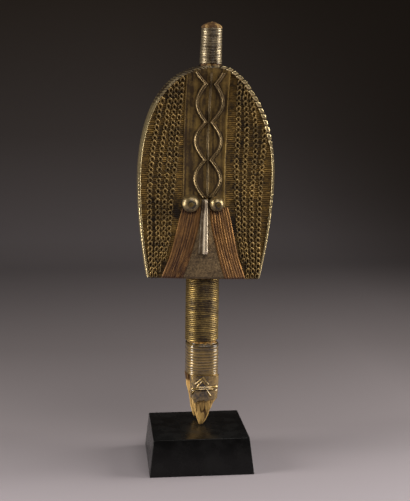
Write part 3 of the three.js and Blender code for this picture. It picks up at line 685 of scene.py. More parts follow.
PLAIN_FINISH = {"Wear": 0.0, "Shine": 0.0, "Bare": 1.0, "Mottle": 1.0, "Coat": 0.0, "Glaze": 1.5}


def finished(name):
    """The slot and the material of a finish, which is made when it is first used."""
    made = bpy.data.materials.get(name)
    if name in METALS:
        return METALS[name][0], made or metal(name)
    slot, make = {"weathered_wood": ("wood", wood), "black_lacquer": ("black_block", lacquer)}[name]
    return slot, made or make(name)


def metal(name):
    """Old metal: patina over whatever relief the piece has."""
    _, worn, tarnished, changes = METALS[name]
    finish = PLAIN_FINISH | changes
    colours = bpy.context.scene.reliquary_colours
    made, tree, shader = material(name)
    group = node(tree, "ShaderNodeGroup", (0, 0), node_tree=patina_group())
    connect(tree, group, {"Worn": getattr(colours, worn), "Tarnished": getattr(colours, tarnished)})
    connect(tree, group, {key: finish[key] for key in ("Wear", "Shine", "Bare", "Mottle")})
    connect(tree, shader, {
        "Base Color": group.outputs["Color"],
        "Roughness": group.outputs["Roughness"],
        "Metallic": group.outputs["Metallic"],
        "Normal": bump(tree, group.outputs["Height"], 0.25, 0.5),
        "Coat Weight": finish["Coat"],
        "Coat Roughness": 0.25 - 0.12 * finish["Coat"],
        "Coat IOR": finish["Glaze"],
    })
    return made


def wood(name):
    colours = bpy.context.scene.reliquary_colours
    made, tree, shader = material(name)
    where = object_place(tree, (-1400, 0))
    along = node(tree, "ShaderNodeMapping", (-1200, 0), {"Vector": where, "Scale": (1, 1, 0.09)}).outputs[0]
    fibre = noise(tree, along, (-950, 100), 1.6, 5, 0.65)
    patch = noise(tree, where, (-950, -200), 14, 3, 0.6)
    uneven = calculate(tree, "ADD", (-700, 100), remap(tree, fibre, (-750, 200), 0.3, 0.7, -0.3, 0.3),
                       remap(tree, patch, (-750, -50), 0.35, 0.65, -0.18, 0.18))
    raised = calculate(tree, "ADD", (-500, 200), relief_of(tree, (-950, 350)), uneven)
    factor = remap(tree, raised, (-300, 200), 0.1, 1.0)
    connect(tree, shader, {
        "Base Color": blend(tree, (0, 200), factor, colours.wood_dark, colours.wood_light),
        "Roughness": remap(tree, factor, (0, -50), 0, 1, 0.8, 0.5),
        "Normal": bump(tree, fibre, 0.5, 0.6),
    })
    return made


def lacquer(name):
    black = bpy.context.scene.reliquary_colours.lacquer
    dusty = [c * 2.5 + 0.002 for c in black]
    made, tree, shader = material(name)
    where = object_place(tree, (-900, 0))
    smudge = noise(tree, where, (-650, 100), 18, 4, 0.6)
    orange_peel = noise(tree, where, (-650, -250), 1.2, 2, 0.5)
    connect(tree, shader, {
        "Base Color": blend(tree, (0, 200), remap(tree, smudge, (-400, 200), 0.4, 0.75), black, dusty),
        "Roughness": remap(tree, smudge, (-400, -50), 0.3, 0.7, 0.2, 0.34),
        "Specular IOR Level": 0.26,
        "Normal": bump(tree, orange_peel, 0.08, 0.3),
    })
    return made


# Stage

CAMERA_PLACE = (-0.0969, -1.0276, 0.3590)
CAMERA_AIM = (0.00776, -0.00079, 0.2161)
CAMERA_LENS = 74.87

# Each light's place, aim, width and height, power and tint
LIGHTS = {
    "side_left": ((-1.0, -0.16, 0.42), (0.0, 0.0, 0.24), (0.42, 0.9), 9.5, (1.0, 0.95, 0.87)),
    "side_right": ((1.0, -0.04, 0.50), (0.0, 0.0, 0.24), (0.7, 0.9), 11.5, (1.0, 0.95, 0.87)),
    "overhead": ((0.3, -0.75, 1.25), (0.0, 0.0, 0.2), (0.8, 0.6), 5.0, (1.0, 0.94, 0.88)),
}

# Metres back from the figure, and how far the floor's colour has turned into the backdrop's there; the ramp is
# painted shade, fitted to the fall of the light over the floor and to the soft shadow round the block
FALL = ((-0.7, 0.95), (-0.16, 0.0), (0.1, 0.48), (0.5, 0.62), (1.6, 0.6), (2.3, 0.86), (3.1, 1.0))
FALL_RANGE = (-1.0, 3.2)


def towards(place, aim):
    return (Vector(aim) - Vector(place)).to_track_quat("-Z", "Y").to_euler()


class RELIQUARY_OT_stage(bpy.types.Operator):
    """Adds the pale floor with its backdrop, the soft lights and the camera"""

    bl_idname = "reliquary.stage"
    bl_label = "Stage"

    def execute(self, context):
        floor = self.floor()
        floor.data.materials.append(self.paper(context.scene.reliquary_colours))
        for name, light in LIGHTS.items():
            self.light(name, *light)
        world = bpy.data.worlds.new("studio")
        context.scene.world = world
        world.use_nodes = True
        ground = world.node_tree.nodes["Background"]
        connect(world.node_tree, ground, {"Color": (0.9, 0.86, 0.84), "Strength": 0.05})
        context.scene.view_settings.view_transform = "Standard"
        clear()
        bpy.ops.object.camera_add(location=CAMERA_PLACE, rotation=towards(CAMERA_PLACE, CAMERA_AIM))
        camera = context.object
        camera.name = "camera"
        camera.data.lens = CAMERA_LENS
        camera.data.sensor_width = 36
        context.scene.camera = camera
        return {"FINISHED"}

    def floor(self):
        """A floor that turns up behind the figure."""
        flat, radius = 1.3, 1.1

        def shape(u, v):
            run = v * 5.2 - 2.2
            turn = np.clip((run - flat) / radius, 0, math.pi / 2)
            y = np.where(run < flat, run, flat + radius * np.sin(turn))
            wall = np.maximum(run - flat - radius * math.pi / 2, 0)
            z = np.where(run < flat, 0, radius * (1 - np.cos(turn)) + wall)
            return np.column_stack(((u - 0.5) * 7, y, z - 0.0001)) / MM, 0.5

        floor = sheet("floor", 8, 120, shape, None)
        pick(floor)
        bpy.ops.object.shade_smooth()
        return floor

    def paper(self, colours):
        """Pale paper, painted darker far back, at the right and beside the lamps, as painted shade for the fall of
        the light and to keep the paper under the side lamps from washing out.
        """
        made, tree, shader = material("paper_floor")
        split = node(tree, "ShaderNodeSeparateXYZ", (-700, 0), {0: object_place(tree, (-900, 0))}).outputs
        depth = calculate(tree, "ADD", (-500, 0), split["Y"], split["Z"])
        fall = node(tree, "ShaderNodeValToRGB", (-150, 0), {"Fac": remap(tree, depth, (-300, 0), *FALL_RANGE)})
        stops = fall.color_ramp.elements
        while len(stops) < len(FALL):
            stops.new(0.5)
        for stop, (place, dark) in zip(stops, FALL):
            stop.position = (place - FALL_RANGE[0]) / (FALL_RANGE[1] - FALL_RANGE[0])
            stop.color = (dark, dark, dark, 1)
        aside = remap(tree, split["X"], (-300, -250), 0.0, 0.9, 0.0, 0.6)
        far = remap(tree, split["Y"], (-300, -450), 0.5, 1.8)
        off = calculate(tree, "ABSOLUTE", (-500, -650), split["X"])
        level = calculate(tree, "ABSOLUTE", (-500, -850), split["Y"])
        beside = calculate(tree, "MULTIPLY", (-100, -750), remap(tree, off, (-300, -750), 0.28, 0.85),
                           remap(tree, level, (-300, -950), 0.35, 0.85, 1.0, 0.0))
        paper = blend(tree, (100, 0), fall.outputs["Color"], colours.floor, colours.backdrop)
        shade = calculate(tree, "MULTIPLY", (-100, -300), aside, far)
        paper = blend(tree, (250, -100), shade, paper, [c * 0.4 for c in colours.backdrop])
        # Painted shade: the paper is darker towards the side lamps and near black right beside them.
        under = remap(tree, off, (-300, -650), 0.42, 1.0, 0.0, 0.85)
        paper = blend(tree, (450, -100), under, paper, colours.backdrop)
        paper = blend(tree, (650, -100), beside, paper, (0.02, 0.019, 0.018))
        connect(tree, shader, {"Base Color": paper, "Roughness": 0.6, "Specular IOR Level": 0.06})
        return made

    def light(self, name, place, aim, size, power, tint):
        clear()
        bpy.ops.object.light_add(type="AREA", location=place, rotation=towards(place, aim))
        lamp = bpy.context.object
        lamp.name = lamp.data.name = name
        lamp.data.shape = "RECTANGLE"
        lamp.data.size, lamp.data.size_y = size
        lamp.data.energy = power
        lamp.data.color = tint


# Block and wood


class RELIQUARY_OT_block(bpy.types.Operator):
    """Adds the black block, which widens towards its foot"""

    bl_idname = "reliquary.block"
    bl_label = "Block"

    def execute(self, context):
        clear()
        low, high = (Vector(corner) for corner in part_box("stand_block"))
        bpy.ops.mesh.primitive_cube_add(size=1, location=(low + high) / 2, scale=high - low)
        block = fresh("black_block")
        narrowing = 94.6 / 103
        with edit(block, lambda polygon: polygon.normal.z > 0.9):
            bpy.ops.transform.resize(value=(narrowing, narrowing, 1), center_override=(0, 0, 0))
            bpy.ops.mesh.select_all(action="SELECT")
            bpy.ops.mesh.bevel(offset=0.9 * MM, segments=3, profile=0.6)
        dress(block, "black_lacquer", "stand_block", angle=40)
        return {"FINISHED"}


class RELIQUARY_OT_foot(bpy.types.Operator):
    """Carves the shoulder and the split, broken foot of the core"""

    bl_idname = "reliquary.foot"
    bl_label = "Foot"

    def execute(self, context):
        parts = [self.limb(f"limb_{i}", levels) for i, levels in enumerate((FRONT_LEG, BACK_LEG, WEB))]
        shoulder = rolled("shoulder", 48, 16, self.shoulder, FIGURE)
        foot = joined("carved_foot", [shoulder, *parts], 0.7)
        self.carve(foot, context.scene.reliquary_sizes.wood_grain / MM)
        dress(foot, "weathered_wood", "wood_core", angle=60)
        return {"FINISHED"}

    def limb(self, name, levels):
        def shape(u, v):
            z = mix(levels[0, 0], levels[-1, 0], v)
            x, y = superellipse(u * TURN, *section(levels, z))
            return np.column_stack((x, y, z)), 0.6

        return rolled(name, 40, 40, shape, FIGURE)

    def shoulder(self, u, v):
        z = mix(BANDS_BOTTOM - 1, WRAP_BOTTOM - GAP, v)
        x, y = superellipse(u * TURN, *SHOULDER)
        return np.column_stack((x, y, z)), 0.6

    def carve(self, foot, depth):
        """Weathered grain runs down the foot and opens towards its tips."""
        world = vectors(foot) / MM
        normals = vectors(foot, "normal")
        local = world - np.array(FIGURE_PLACE)
        up = local[:, 2]
        fine = lumps(local, (1.5, 1.5, 16), 3)
        broad = lumps(local, (4, 4, 24), 5)
        chips = lumps(local, (2.2, 2.2, 3.0), 8)
        split = -np.maximum(0, 0.75 - np.abs(lumps(local, (3.4, 3.4, 34), 11)) * 6)
        low = 1 - smooth(up, 24, 54)
        moved = depth * (0.7 * fine + 0.8 * broad * low + 0.35 * chips * low + 1.4 * split * (0.3 + 0.7 * low))
        moved = moved * np.where(up > 50, 0.3, 1) - depth * 0.4
        put(foot, world + normals * moved[:, None])
        # Faces turned to the sides are painted lighter, as a painted highlight from the side lamps, and the hollow at
        # the back left above the split is painted dark, as painted shade; the back and the lowest tips are a little
        # darker.
        height = 0.72 + 0.4 * fine + 0.35 * broad + 0.7 * split + 0.35 * smooth(np.abs(normals[:, 0]), 0.5, 0.9)
        rear = smooth(local[:, 1], 0, 6)
        hollow = rear * smooth(up, 40, 43) * smooth(-local[:, 0], 8, 11)
        mark(foot, height * (0.7 + 0.3 * smooth(up, 0, 10)) - 0.15 * rear - 0.8 * hollow)


class RELIQUARY_OT_head_wood(bpy.types.Operator):
    """Carves the neck, the board of the head and the stem and dome of the topknot"""

    bl_idname = "reliquary.head_wood"
    bl_label = "Neck, head board and topknot"

    def execute(self, context):
        neck = rolled("neck", 64, 24, self.neck, FIGURE)
        board = rolled("board", 112, 90, self.board, HEAD)
        for piece, darker in (
            (joined("carved_head", [board, neck], 1.2), 0.0),
            (rolled("carved_topknot", 64, 60, self.knot, HEAD), 0.35),
        ):
            self.tool(piece, darker)
            dress(piece, "weathered_wood", "wood_core", angle=60)
        return {"FINISHED"}

    def neck(self, u, v):
        z = mix(81.3, 172.0, v)
        radius = mix(14.6, NECK_RADIUS, smooth(z, 85.0, 85.8)) * mix(1.0, 0.78, smooth(z, 152, 172))
        return circle(u * TURN, radius, z), 0.6

    def board(self, u, v):
        angle = np.clip((v - 0.4) / 0.6, 0, 1) * math.pi / 2
        z = np.where(v < 0.4, v / 0.4 * WIDEST, WIDEST + (TOP - 0.1 - WIDEST) * np.sin(angle) ** (2 / CROWN))
        front = u < 0.4999
        x = across_head(np.where(front, u * 2, 2 - u * 2), z)
        y = np.where(front, face(x, z), back(x, z))
        return flared(np.column_stack((x, y, z))), 0.6

    def knot(self, u, v):
        dome_foot = KNOT_WIRE_TOP + GAP
        stem = v < 0.6
        angle = np.clip((v - 0.6) / 0.4, 0, 1) * math.pi / 2
        low = mix(HEIGHT - 5, dome_foot, np.clip(v / 0.6, 0, 1))
        wide = knot_radius(dome_foot) + 1.5
        radius = np.where(stem, knot_radius(low), wide * np.cos(angle) ** 1.8)
        z = np.where(stem, low, dome_foot + (KNOT_TOP - dome_foot) * np.sin(angle))
        lean = 0.3 * np.sin(angle) ** 2
        return circle(u * TURN, radius, z, KNOT_X + lean), 0.6

    def tool(self, piece, darker):
        """Shallow marks of the blade."""
        world = vectors(piece) / MM
        cut = lumps(world, (5, 5, 9), 21)
        fine = lumps(world, (1.6, 1.6, 9), 22)
        put(piece, world + vectors(piece, "normal") * (0.12 * cut + 0.08 * fine - 0.1)[:, None])
        mark(piece, 0.5 - darker + 0.25 * cut + 0.3 * fine)


# Wire and bands


def coil(name, radius_at, bottom, top, pitch, wire, place_x, matrix, steps, seed, painted_front_shade):
    """Wire wound close round a stem, one turn on the next, with the wander of a hand-wound turn."""
    spool = 100.0
    clear()
    bpy.ops.mesh.primitive_circle_add(vertices=8, radius=0.5, rotation=(math.pi / 2, 0, 0))
    piece = fresh(name)
    put(piece, vectors(piece) * np.array([wire, 1, pitch * 1.04]) + np.array([spool, 0, 0]))
    turns = int((top - bottom - pitch) / pitch)
    modify(piece, "SCREW", angle=TURN, screw_offset=pitch * MM, iterations=turns, steps=steps,
           render_steps=steps, axis="Z", use_merge_vertices=False, use_smooth_shade=True)
    close_up(piece, 0.0000001)
    x, y, z = (vectors(piece) / MM).T
    angle = np.arctan2(y, x)
    out = np.hypot(x, y) - spool
    z = bottom + pitch / 2 + z * (top - bottom - pitch) / (turns * pitch + pitch * 0.02)
    ring = circle(angle, 14, z)
    z = z + 0.32 * lumps(ring, (16, 16, 4), seed) + 0.1 * lumps(ring, (5, 5, 1.5), seed + 1)
    z = np.clip(z, bottom, top)
    sag = 0.16 * lumps(ring, (12, 12, 1.8), seed + 2)
    radius = radius_at(z) + GAP + wire / 2 + out + sag - 0.16
    put(piece, circle(angle, radius, z, place_x), matrix)
    # Painted shade: the wire is painted darker where it faces forward, standing in for the dark room it reflects
    # there; the front of its lowest turns is darkened a little too.
    facing = -np.sin(angle)
    front = smooth(facing, 0.78, 1.0) + 0.2 * smooth(bottom + 9 - z, 0, 8) * smooth(facing, 0.1, 0.9)
    mark(piece, 0.32 + 0.9 * out / wire + 0.28 * lumps(ring, (9, 9, 1.6), seed + 3) - painted_front_shade * front)
    return piece


class RELIQUARY_OT_wires(bpy.types.Operator):
    """Winds the wire round the neck and the topknot"""

    bl_idname = "reliquary.wires"
    bl_label = "Wire of the neck and topknot"

    def execute(self, context):
        sizes = context.scene.reliquary_sizes
        neck = coil("neck_wire", lambda z: NECK_RADIUS, WRAP_BOTTOM, NECK_WIRE_TOP, sizes.neck_pitch / MM,
                    sizes.neck_wire / MM, 0.0, FIGURE, steps=56, seed=31, painted_front_shade=0.3)
        dress(neck, "wound_brass", "neck_wrap", angle=80)
        knot = coil("topknot_wire", knot_radius, KNOT_WIRE_FOOT, KNOT_WIRE_TOP, sizes.knot_pitch / MM,
                    sizes.knot_wire / MM, KNOT_X, HEAD, steps=44, seed=47, painted_front_shade=0.35)
        dress(knot, "knot_brass", "topknot_wrap", angle=80)
        return {"FINISHED"}


class RELIQUARY_OT_shoulder_bands(bpy.types.Operator):
    """Wraps the ridged bands round the shoulder"""

    bl_idname = "reliquary.shoulder_bands"
    bl_label = "Shoulder bands"

    def execute(self, context):
        low, high = BANDS_BOTTOM, WRAP_BOTTOM - GAP
        grooves = [84.9, 82.3, 79.4, 77.9, 74.8, 71.7, 68.9, 66, 63.2, 60.3, 57.7, 55.9, 54.3]

        def shape(u, v):
            z = mix(low, high, v)
            angle = u * TURN
            ring = circle(angle, 16, z)
            tilt = z + 0.35 * lumps(ring, (22, 22, 60), 61)
            rolled_in = 2.2 * smooth(z, high - 3.2, high) ** 2
            ridge = 1 - bell(np.min([np.abs(tilt - groove) for groove in grooves], axis=0), 0.55)
            proud = 1.55 + 0.22 * ridge + 0.08 * lumps(ring, (7, 7, 4), 62) - rolled_in
            x, y = superellipse(angle, *SHOULDER, grown=proud)
            tone = 0.25 + 0.42 * ridge + 0.2 * lumps(ring, (6, 6, 2), 64) - 0.3 * smooth(z, 80, 84)
            return np.column_stack((x, y, z)), tone

        bands = sheet("shoulder_sheet", 144, 150, shape, FIGURE)
        close_up(bands, 0.000001, ends=False)
        solidify(bands, 0.8)
        dress(bands, "polished_brass", "shoulder_bands")
        return {"FINISHED"}


class RELIQUARY_OT_motif(bpy.types.Operator):
    """Presses the sheet round the front leg: a doubled triangle over a bar and two slanting lines"""

    bl_idname = "reliquary.motif"
    bl_label = "Motif sheet"

    def execute(self, context):
        divide, top, middle = 39.8, 52.1, -1.0
        # Lines, as shares of the leg's half width and of the sheet's height over the bar
        lines = [
            [(-0.46, 0.32), (0.03, 0.86), (0.38, 0.32)], [(-0.3, 0.16), (0.0, 0.57), (0.27, 0.16)],
            [(-0.33, 0.05), (1.0, 0.04)], [(-0.68, -0.12), (0.68, -0.12)],
            [(-0.5, -0.2), (-0.67, -0.52)], [(0.3, -0.2), (0.54, -0.68)],
        ]
        strokes = []
        for line in lines:
            points = [(middle + x * LEG_HALF_WIDTH, divide + z * (top - divide)) for x, z in line]
            strokes += zip(points[:-1], points[1:])
        torn_x, torn_z = zip(
            (-0.75, 0.45), (-0.55, -0.85), (-0.28, 0), (0, 0.1), (0.22, -0.15), (0.44, 0.15), (0.89, 0.2)
        )

        def shape(u, v):
            angle = math.radians(-190) + u * math.radians(200)
            side_x, _ = superellipse(angle, *section(FRONT_LEG, 27.0), grown=1.0)
            low = 26.8 + 4 * np.interp(side_x / LEG_HALF_WIDTH, torn_x, torn_z)
            low = low + 0.5 * lumps(plane(side_x, 0 * side_x), 1.3, 71)
            z = mix(low, top, v)
            levels = section(FRONT_LEG, z)
            x0, _ = superellipse(angle, *levels, grown=1.0)
            line = np.max([bell(self.distance(x0, z, *stroke), 0.65) for stroke in strokes], axis=0)
            cut = bell(z - divide + 2.4, 0.6) * (1 - line)
            inner = smooth(4.0 - np.abs(x0 + 1.0), 0, 2) * smooth(z, 41.0, 42.0) * smooth(46.5 - z, 0, 3) * (1 - line)
            # pale lightens the sheet's right side, as a painted highlight on its curve, and a patch at its upper
            # left.
            pale = smooth(x0, 3.5, 6.5) + smooth(-x0, 7.0, 9.0) * smooth(z, 43.5, 46.0)
            grain = lumps(plane(x0, z), 1.5, 73)
            front = smooth(-np.sin(angle), 0.1, 0.35)
            x, y = superellipse(angle, *levels, grown=1.15 + front * (0.8 * line - 0.4 * cut) + 0.09 * grain)
            tone = 0.5 * line - 0.35 * cut - 0.35 * inner + 0.3 * pale
            return np.column_stack((x, y, z)), 0.38 + front * tone + 0.18 * grain

        motif = sheet("motif_relief", 150, 96, shape, FIGURE, 0.7)
        dress(motif, "polished_brass", "motif_sheet")
        return {"FINISHED"}

    def distance(self, x, z, start, end):
        """How far points lie from a stroke."""
        (ax, az), (bx, bz) = start, end
        dx, dz = bx - ax, bz - az
        t = np.clip(((x - ax) * dx + (z - az) * dz) / (dx**2 + dz**2), 0, 1)
        return np.hypot(x - ax - t * dx, z - az - t * dz)


# Metal of the face


class RELIQUARY_OT_face_strips(bpy.types.Operator):
    """Lays the narrow strips of brass across the face"""

    bl_idname = "reliquary.face_strips"
    bl_label = "Face strips"

    def execute(self, context):
        sizes = context.scene.reliquary_sizes
        pitch, groove = sizes.strip_pitch / MM, sizes.strip_groove / MM
        count = round(TOP / pitch)

        def shape(u, v):
            z = v * TOP
            x = across_head(u, z, 0.3)
            at = v * count
            crest = np.nan_to_num(np.sin(math.pi * (at - np.floor(at))) ** 0.7)
            wander = 0.35 * lumps(plane(x, z), (26, 1, 20), 81)
            dent = lumps(plane(x, np.floor(at) * 7), (9, 1, 1), 82)
            weave = lumps(plane(x, np.floor(at) * 5), (2.4, 1, 1), 83)
            stain = bell(x + 30, 4.5) * bell(z - 66, 8) + bell(x - 27, 4) * bell(z - 50, 17)
            seam = bell(z - 118, 1.6) * smooth(x, -46, -42) * smooth(-x, 14, 18)
            seam = seam + 0.6 * bell(z - 187, 1.2) * smooth(x, -40, -36) * smooth(-x, 12, 16)
            height = STRIPS - groove * (1 - crest) + 0.1 * dent - 0.08 + 0.15 * seam
            relief = 0.5 + crest * 0.2 + 0.1 * dent + 0.16 * weave + 0.4 * seam - 0.5 * stain - self.shadows(x, z)
            return on_face(x, np.clip(z + wander * np.sin(math.pi * v), 0, TOP), height), relief

        strips = sheet("face_strips", 100, count * 3, shape, HEAD, 0.8)
        dress(strips, "strip_brass", "face_laminae")
        return {"FINISHED"}

    def shadows(self, x, z):
        """Painted shade under the stitched columns and in the narrow gaps between them."""
        dark = 0 * z
        for side in (-1, 1):
            middles = [column_middle(z, number, side) for number in range(4)]
            widest_gap = 0 if side < 0 else 2
            for number, (outer, inner) in enumerate(zip(middles, middles[1:])):
                deep = 0.25 if number == widest_gap else 0.1
                dark = np.maximum(dark, deep * bell(side * x - (outer + inner) / 2, 1.3))
            for middle in middles:
                dark = np.maximum(dark, 0.12 * bell(side * x - middle, 1.5))
        return dark


class RELIQUARY_OT_rim(bpy.types.Operator):
    """Folds the wound binding over the rim of the head"""

    bl_idname = "reliquary.rim"
    bl_label = "Rim binding"

    def execute(self, context):
        sizes = context.scene.reliquary_sizes
        pitch, bead = sizes.bead_pitch / MM, sizes.bead_height / MM
        # The fold's section: share of the way over it, and there its growth outwards, its rise off the face
        # and its share of the way to the back
        steps, grows, rises, depths = zip(
            (0, -1.5, 2.1, 0), (0.08, -1.45, 2.6, 0), (0.18, -1.0, 2.9, 0), (0.30, -0.2, 2.9, 0),
            (0.42, 0.6, 2.7, 0), (0.5, 1.05, 2.2, 0.04), (0.6, 1.2, 0, 0.2), (0.7, 1.2, 0, 0.45),
            (0.8, 1.2, 0, 0.7), (0.9, 1.2, 0, 0.93), (0.96, 1.1, 0, 1.0), (1.0, 0.8, 0, 1.0),
        )

        def shape(u, v):
            px, pz, nx, nz, run = outline(v)
            left = smooth(-px, 10, 30) * (1 - 0.45 * smooth(pz, 166, 182))
            right_low = smooth(px, 20, 60) * (1 - smooth(pz, 112, 142))
            strength = bead * (1 - 0.88 * np.maximum(left, right_low))
            run = run + 5.0 * (np.minimum(u, 0.6) - 0.3) * np.sign(px - 1)
            run = run + 0.8 * lumps(plane(run, 0 * run), 9, 171)
            at = run / pitch
            turn = (1 - bell((at - np.round(at)) * pitch, 0.75)) * (0.82 + 0.18 * np.abs(np.sin(math.pi * at)))
            halfway = at + 0.5 - np.round(at + 0.5)
            turn = turn * (1 - smooth(-px, 0, 6) * bell(halfway * pitch, 0.6))
            lip = smooth(px, 5, 25) * smooth(pz, 125, 150)
            grow = np.interp(u, steps, grows) - np.where(u > 0.4, strength * (1 - turn), 0)
            grow = grow - 1.6 * lip * (1 - smooth(u, 0.1, 0.4))
            swollen = lip * turn * np.sin(math.pi * np.clip(u / 0.5, 0, 1))
            lift = np.interp(u, steps, rises) + np.where(u < 0.55, strength * (turn - 1) + swollen, 0)
            x = px + nx * grow
            z = np.maximum(pz + nz * grow, 0.6)
            y = mix(face(x, z) - lift, back(px, pz) + 1.7, np.interp(u, steps, depths))
            worn = 1.0 - 0.5 * smooth(-px, -20, 0) * smooth(pz, 160, 195)
            # The outer wall of the binding is painted darker than its front roll, and darker still towards the crown,
            # as painted shade.
            wall = 0.56 - 0.26 * smooth(pz, 140, 185)
            cut = np.clip(strength / bead, 0, 1) * (1 - turn) ** 0.8
            return flared(np.column_stack((x, y, z))), mix(worn, wall, smooth(u, 0.45, 0.58)) - cut

        rim = sheet("rim_wire", 12, 1380, shape, HEAD)
        to_head = HEAD.inverted()

        def at_knot(polygon):
            at = to_head @ (polygon.center / MM)
            return at.z > 195 and math.hypot(at.x - KNOT_X, at.y) < 11.8

        with edit(rim, at_knot):
            bpy.ops.mesh.delete(type="FACE")
        solidify(rim, 0.75)
        dress(rim, "rim_brass", "rim_binding")
        return {"FINISHED"}


class RELIQUARY_OT_forehead(bpy.types.Operator):
    """Adds the upright plate of the forehead with its raised borders and the thin rib up its middle"""

    bl_idname = "reliquary.forehead"
    bl_label = "Forehead plate and rib"

    def execute(self, context):
        plate = sheet("forehead_plate_ridged", 110, 180, self.plate, HEAD, 0.45)
        dress(plate, "streaked_brass", "forehead_plate")
        rib = rolled("forehead_wire", 10, 90, self.rib, HEAD)
        dress(rib, "worn_grey_brass", "forehead_rib")
        return {"FINISHED"}

    def plate(self, u, v):
        x = mix(-PANEL_LEFT, PANEL_RIGHT, u)
        z = mix(71.8, crown_height(np.abs(x) + 1.6) - 1.6, v)
        ridge = np.interp(z, [98, 113, 138], [16.8, 16.8, 17.7])
        border = bell(x - ridge, 1.0)
        line = bell(x + PANEL_LEFT - 0.7, 0.55)
        outside = smooth(x - ridge, 1.1, 1.6) + smooth(1.2 - np.abs(x + PANEL_LEFT - 2.2), 0, 0.8)
        turn = (z - TOP_WAIST) / WAIST_PITCH
        strand = np.minimum(np.abs(x - strand_middle(turn, -1)), np.abs(x - strand_middle(turn, 1)))
        shadow = bell(strand - 2.7, 0.8)
        streak = lumps(plane(x, z), (1.7, 1, 26), 91)
        dent = lumps(plane(x, z), 6, 92)
        height = PLATES + 0.2 * streak + 0.6 * border + 0.3 * line + 0.08 * dent
        tone = 0.3 + 0.3 * streak + 0.15 * dent - 0.3 * shadow - 0.2 * outside
        return on_face(x, z, height), tone + 0.55 * border + 0.3 * line

    def rib(self, u, v):
        z = mix(82.2, 203.4, v)
        angle = u * TURN
        height = RELIEF + 0.08 + np.maximum(np.sin(angle), -0.1) * 0.75
        wander = 0.25 * np.sin(z / 13.0)
        return on_face(1.15 * np.cos(angle) + wander, z, height), 0.3 + 0.25 * np.sin(angle)


class RELIQUARY_OT_interlace(bpy.types.Operator):
    """Adds the two double-ridged strands that meet at the waists of the forehead"""

    bl_idname = "reliquary.interlace"
    bl_label = "Interlace"

    def execute(self, context):
        sides, around = profile((-1.95, -1.9, -1.6, -1.1, -0.55, 0, 0.55, 1.1, 1.6, 1.9, 1.95),
                                (0, 0.3, 1.3, 2.1, 1.9, 1.35, 1.9, 2.1, 1.3, 0.3, 0))
        for word, side in (("left", -1), ("right", 1)):

            def shape(u, v):
                turn = mix(-2.985, 0.3, v)
                slope = 9.8 * math.pi * np.abs(np.cos(math.pi * turn)) / WAIST_PITCH
                w, h = around(u)
                z = TOP_WAIST + turn * WAIST_PITCH
                x = strand_middle(turn, side) + w * np.sqrt(1 + slope**2)
                h = h * (1 + 0.08 * lumps(plane(x, z), 2.5, 101))
                return on_face(x, z, RELIEF + h), (h / 2.1) ** 2

            strand = rolled(f"strand_{word}", sides, 250, shape, HEAD)
            dress(strand, "worn_grey_brass", f"interlace_{word}", angle=70)
        return {"FINISHED"}


class RELIQUARY_OT_eyes(bpy.types.Operator):
    """Adds the two domed eyes and the pins in their middles"""

    bl_idname = "reliquary.eyes"
    bl_label = "Eyes and pins"

    def execute(self, context):
        for word, side, radius in (("left", -1, 9.1), ("right", 1, 7.9)):
            x = EYES_X + side * EYE_SPREAD
            ground = float(face(x, EYE_HEIGHT))
            self.dome(word, x, ground, radius)
            self.pin(word, x + side * 0.7, ground - EYE_SEAT - EYE_BULGE)
        return {"FINISHED"}

    def dome(self, word, x, ground, radius):
        clear()
        bpy.ops.mesh.primitive_uv_sphere_add(segments=64, ring_count=40, radius=1, rotation=(math.pi / 2, 0, 0))
        dome = fresh(f"eye_dome_{word}")
        with edit(dome):
            bpy.ops.mesh.bisect(plane_co=(0, 0.02, 0), plane_no=(0, 1, 0), use_fill=True, clear_outer=True)
        co = vectors(dome)
        dent = lumps(co * radius, 3.2, 111)
        reach = np.hypot(co[:, 0], co[:, 2])
        wide, high = x + co[:, 0] * radius, EYE_HEIGHT + co[:, 2] * radius
        bent = (face(wide, high) - ground) * smooth(reach, 0.7, 1.0)
        deep = ground - EYE_SEAT + np.minimum(co[:, 1], 0) * EYE_BULGE * (1 + 0.012 * dent) + bent
        put(dome, np.column_stack((wide, deep, high)), HEAD)
        # Each dome is painted lighter at its top and darker at its right, as painted light and shade; it is also
        # darker in a ring round the pin and round its foot.
        ring = bell(np.hypot(co[:, 0] - 0.08, co[:, 2] + 0.08) - 0.34, 0.09)
        mark(dome, 0.55 + 0.2 * dent + 0.4 * co[:, 2] - 0.15 * co[:, 0] - 0.7 * ring - 0.6 * smooth(reach, 0.9, 1.0))
        dress(dome, "eye_brass", f"eye_{word}", angle=70)

    def pin(self, word, x, front):
        """A round head with a softened edge."""
        clear()
        bpy.ops.mesh.primitive_cylinder_add(vertices=32, radius=PIN_RADIUS * MM, depth=PIN_DEPTH * MM,
                                            rotation=(math.pi / 2, 0, 0))
        pin = fresh(f"eye_rivet_{word}")
        co = vectors(pin) / MM
        put(pin, co * np.array([0.78, 1, 0.78]) + np.array([x, front - 1.1, EYE_HEIGHT - 0.7]), HEAD)
        mark(pin, np.where(co[:, 1] < 0, 0.6, 0.0))
        modify(pin, "BEVEL", width=0.12 * MM, segments=2, limit_method="ANGLE", angle_limit=math.radians(40))
        dress(pin, "wound_brass", f"eye_pin_{word}", angle=40)


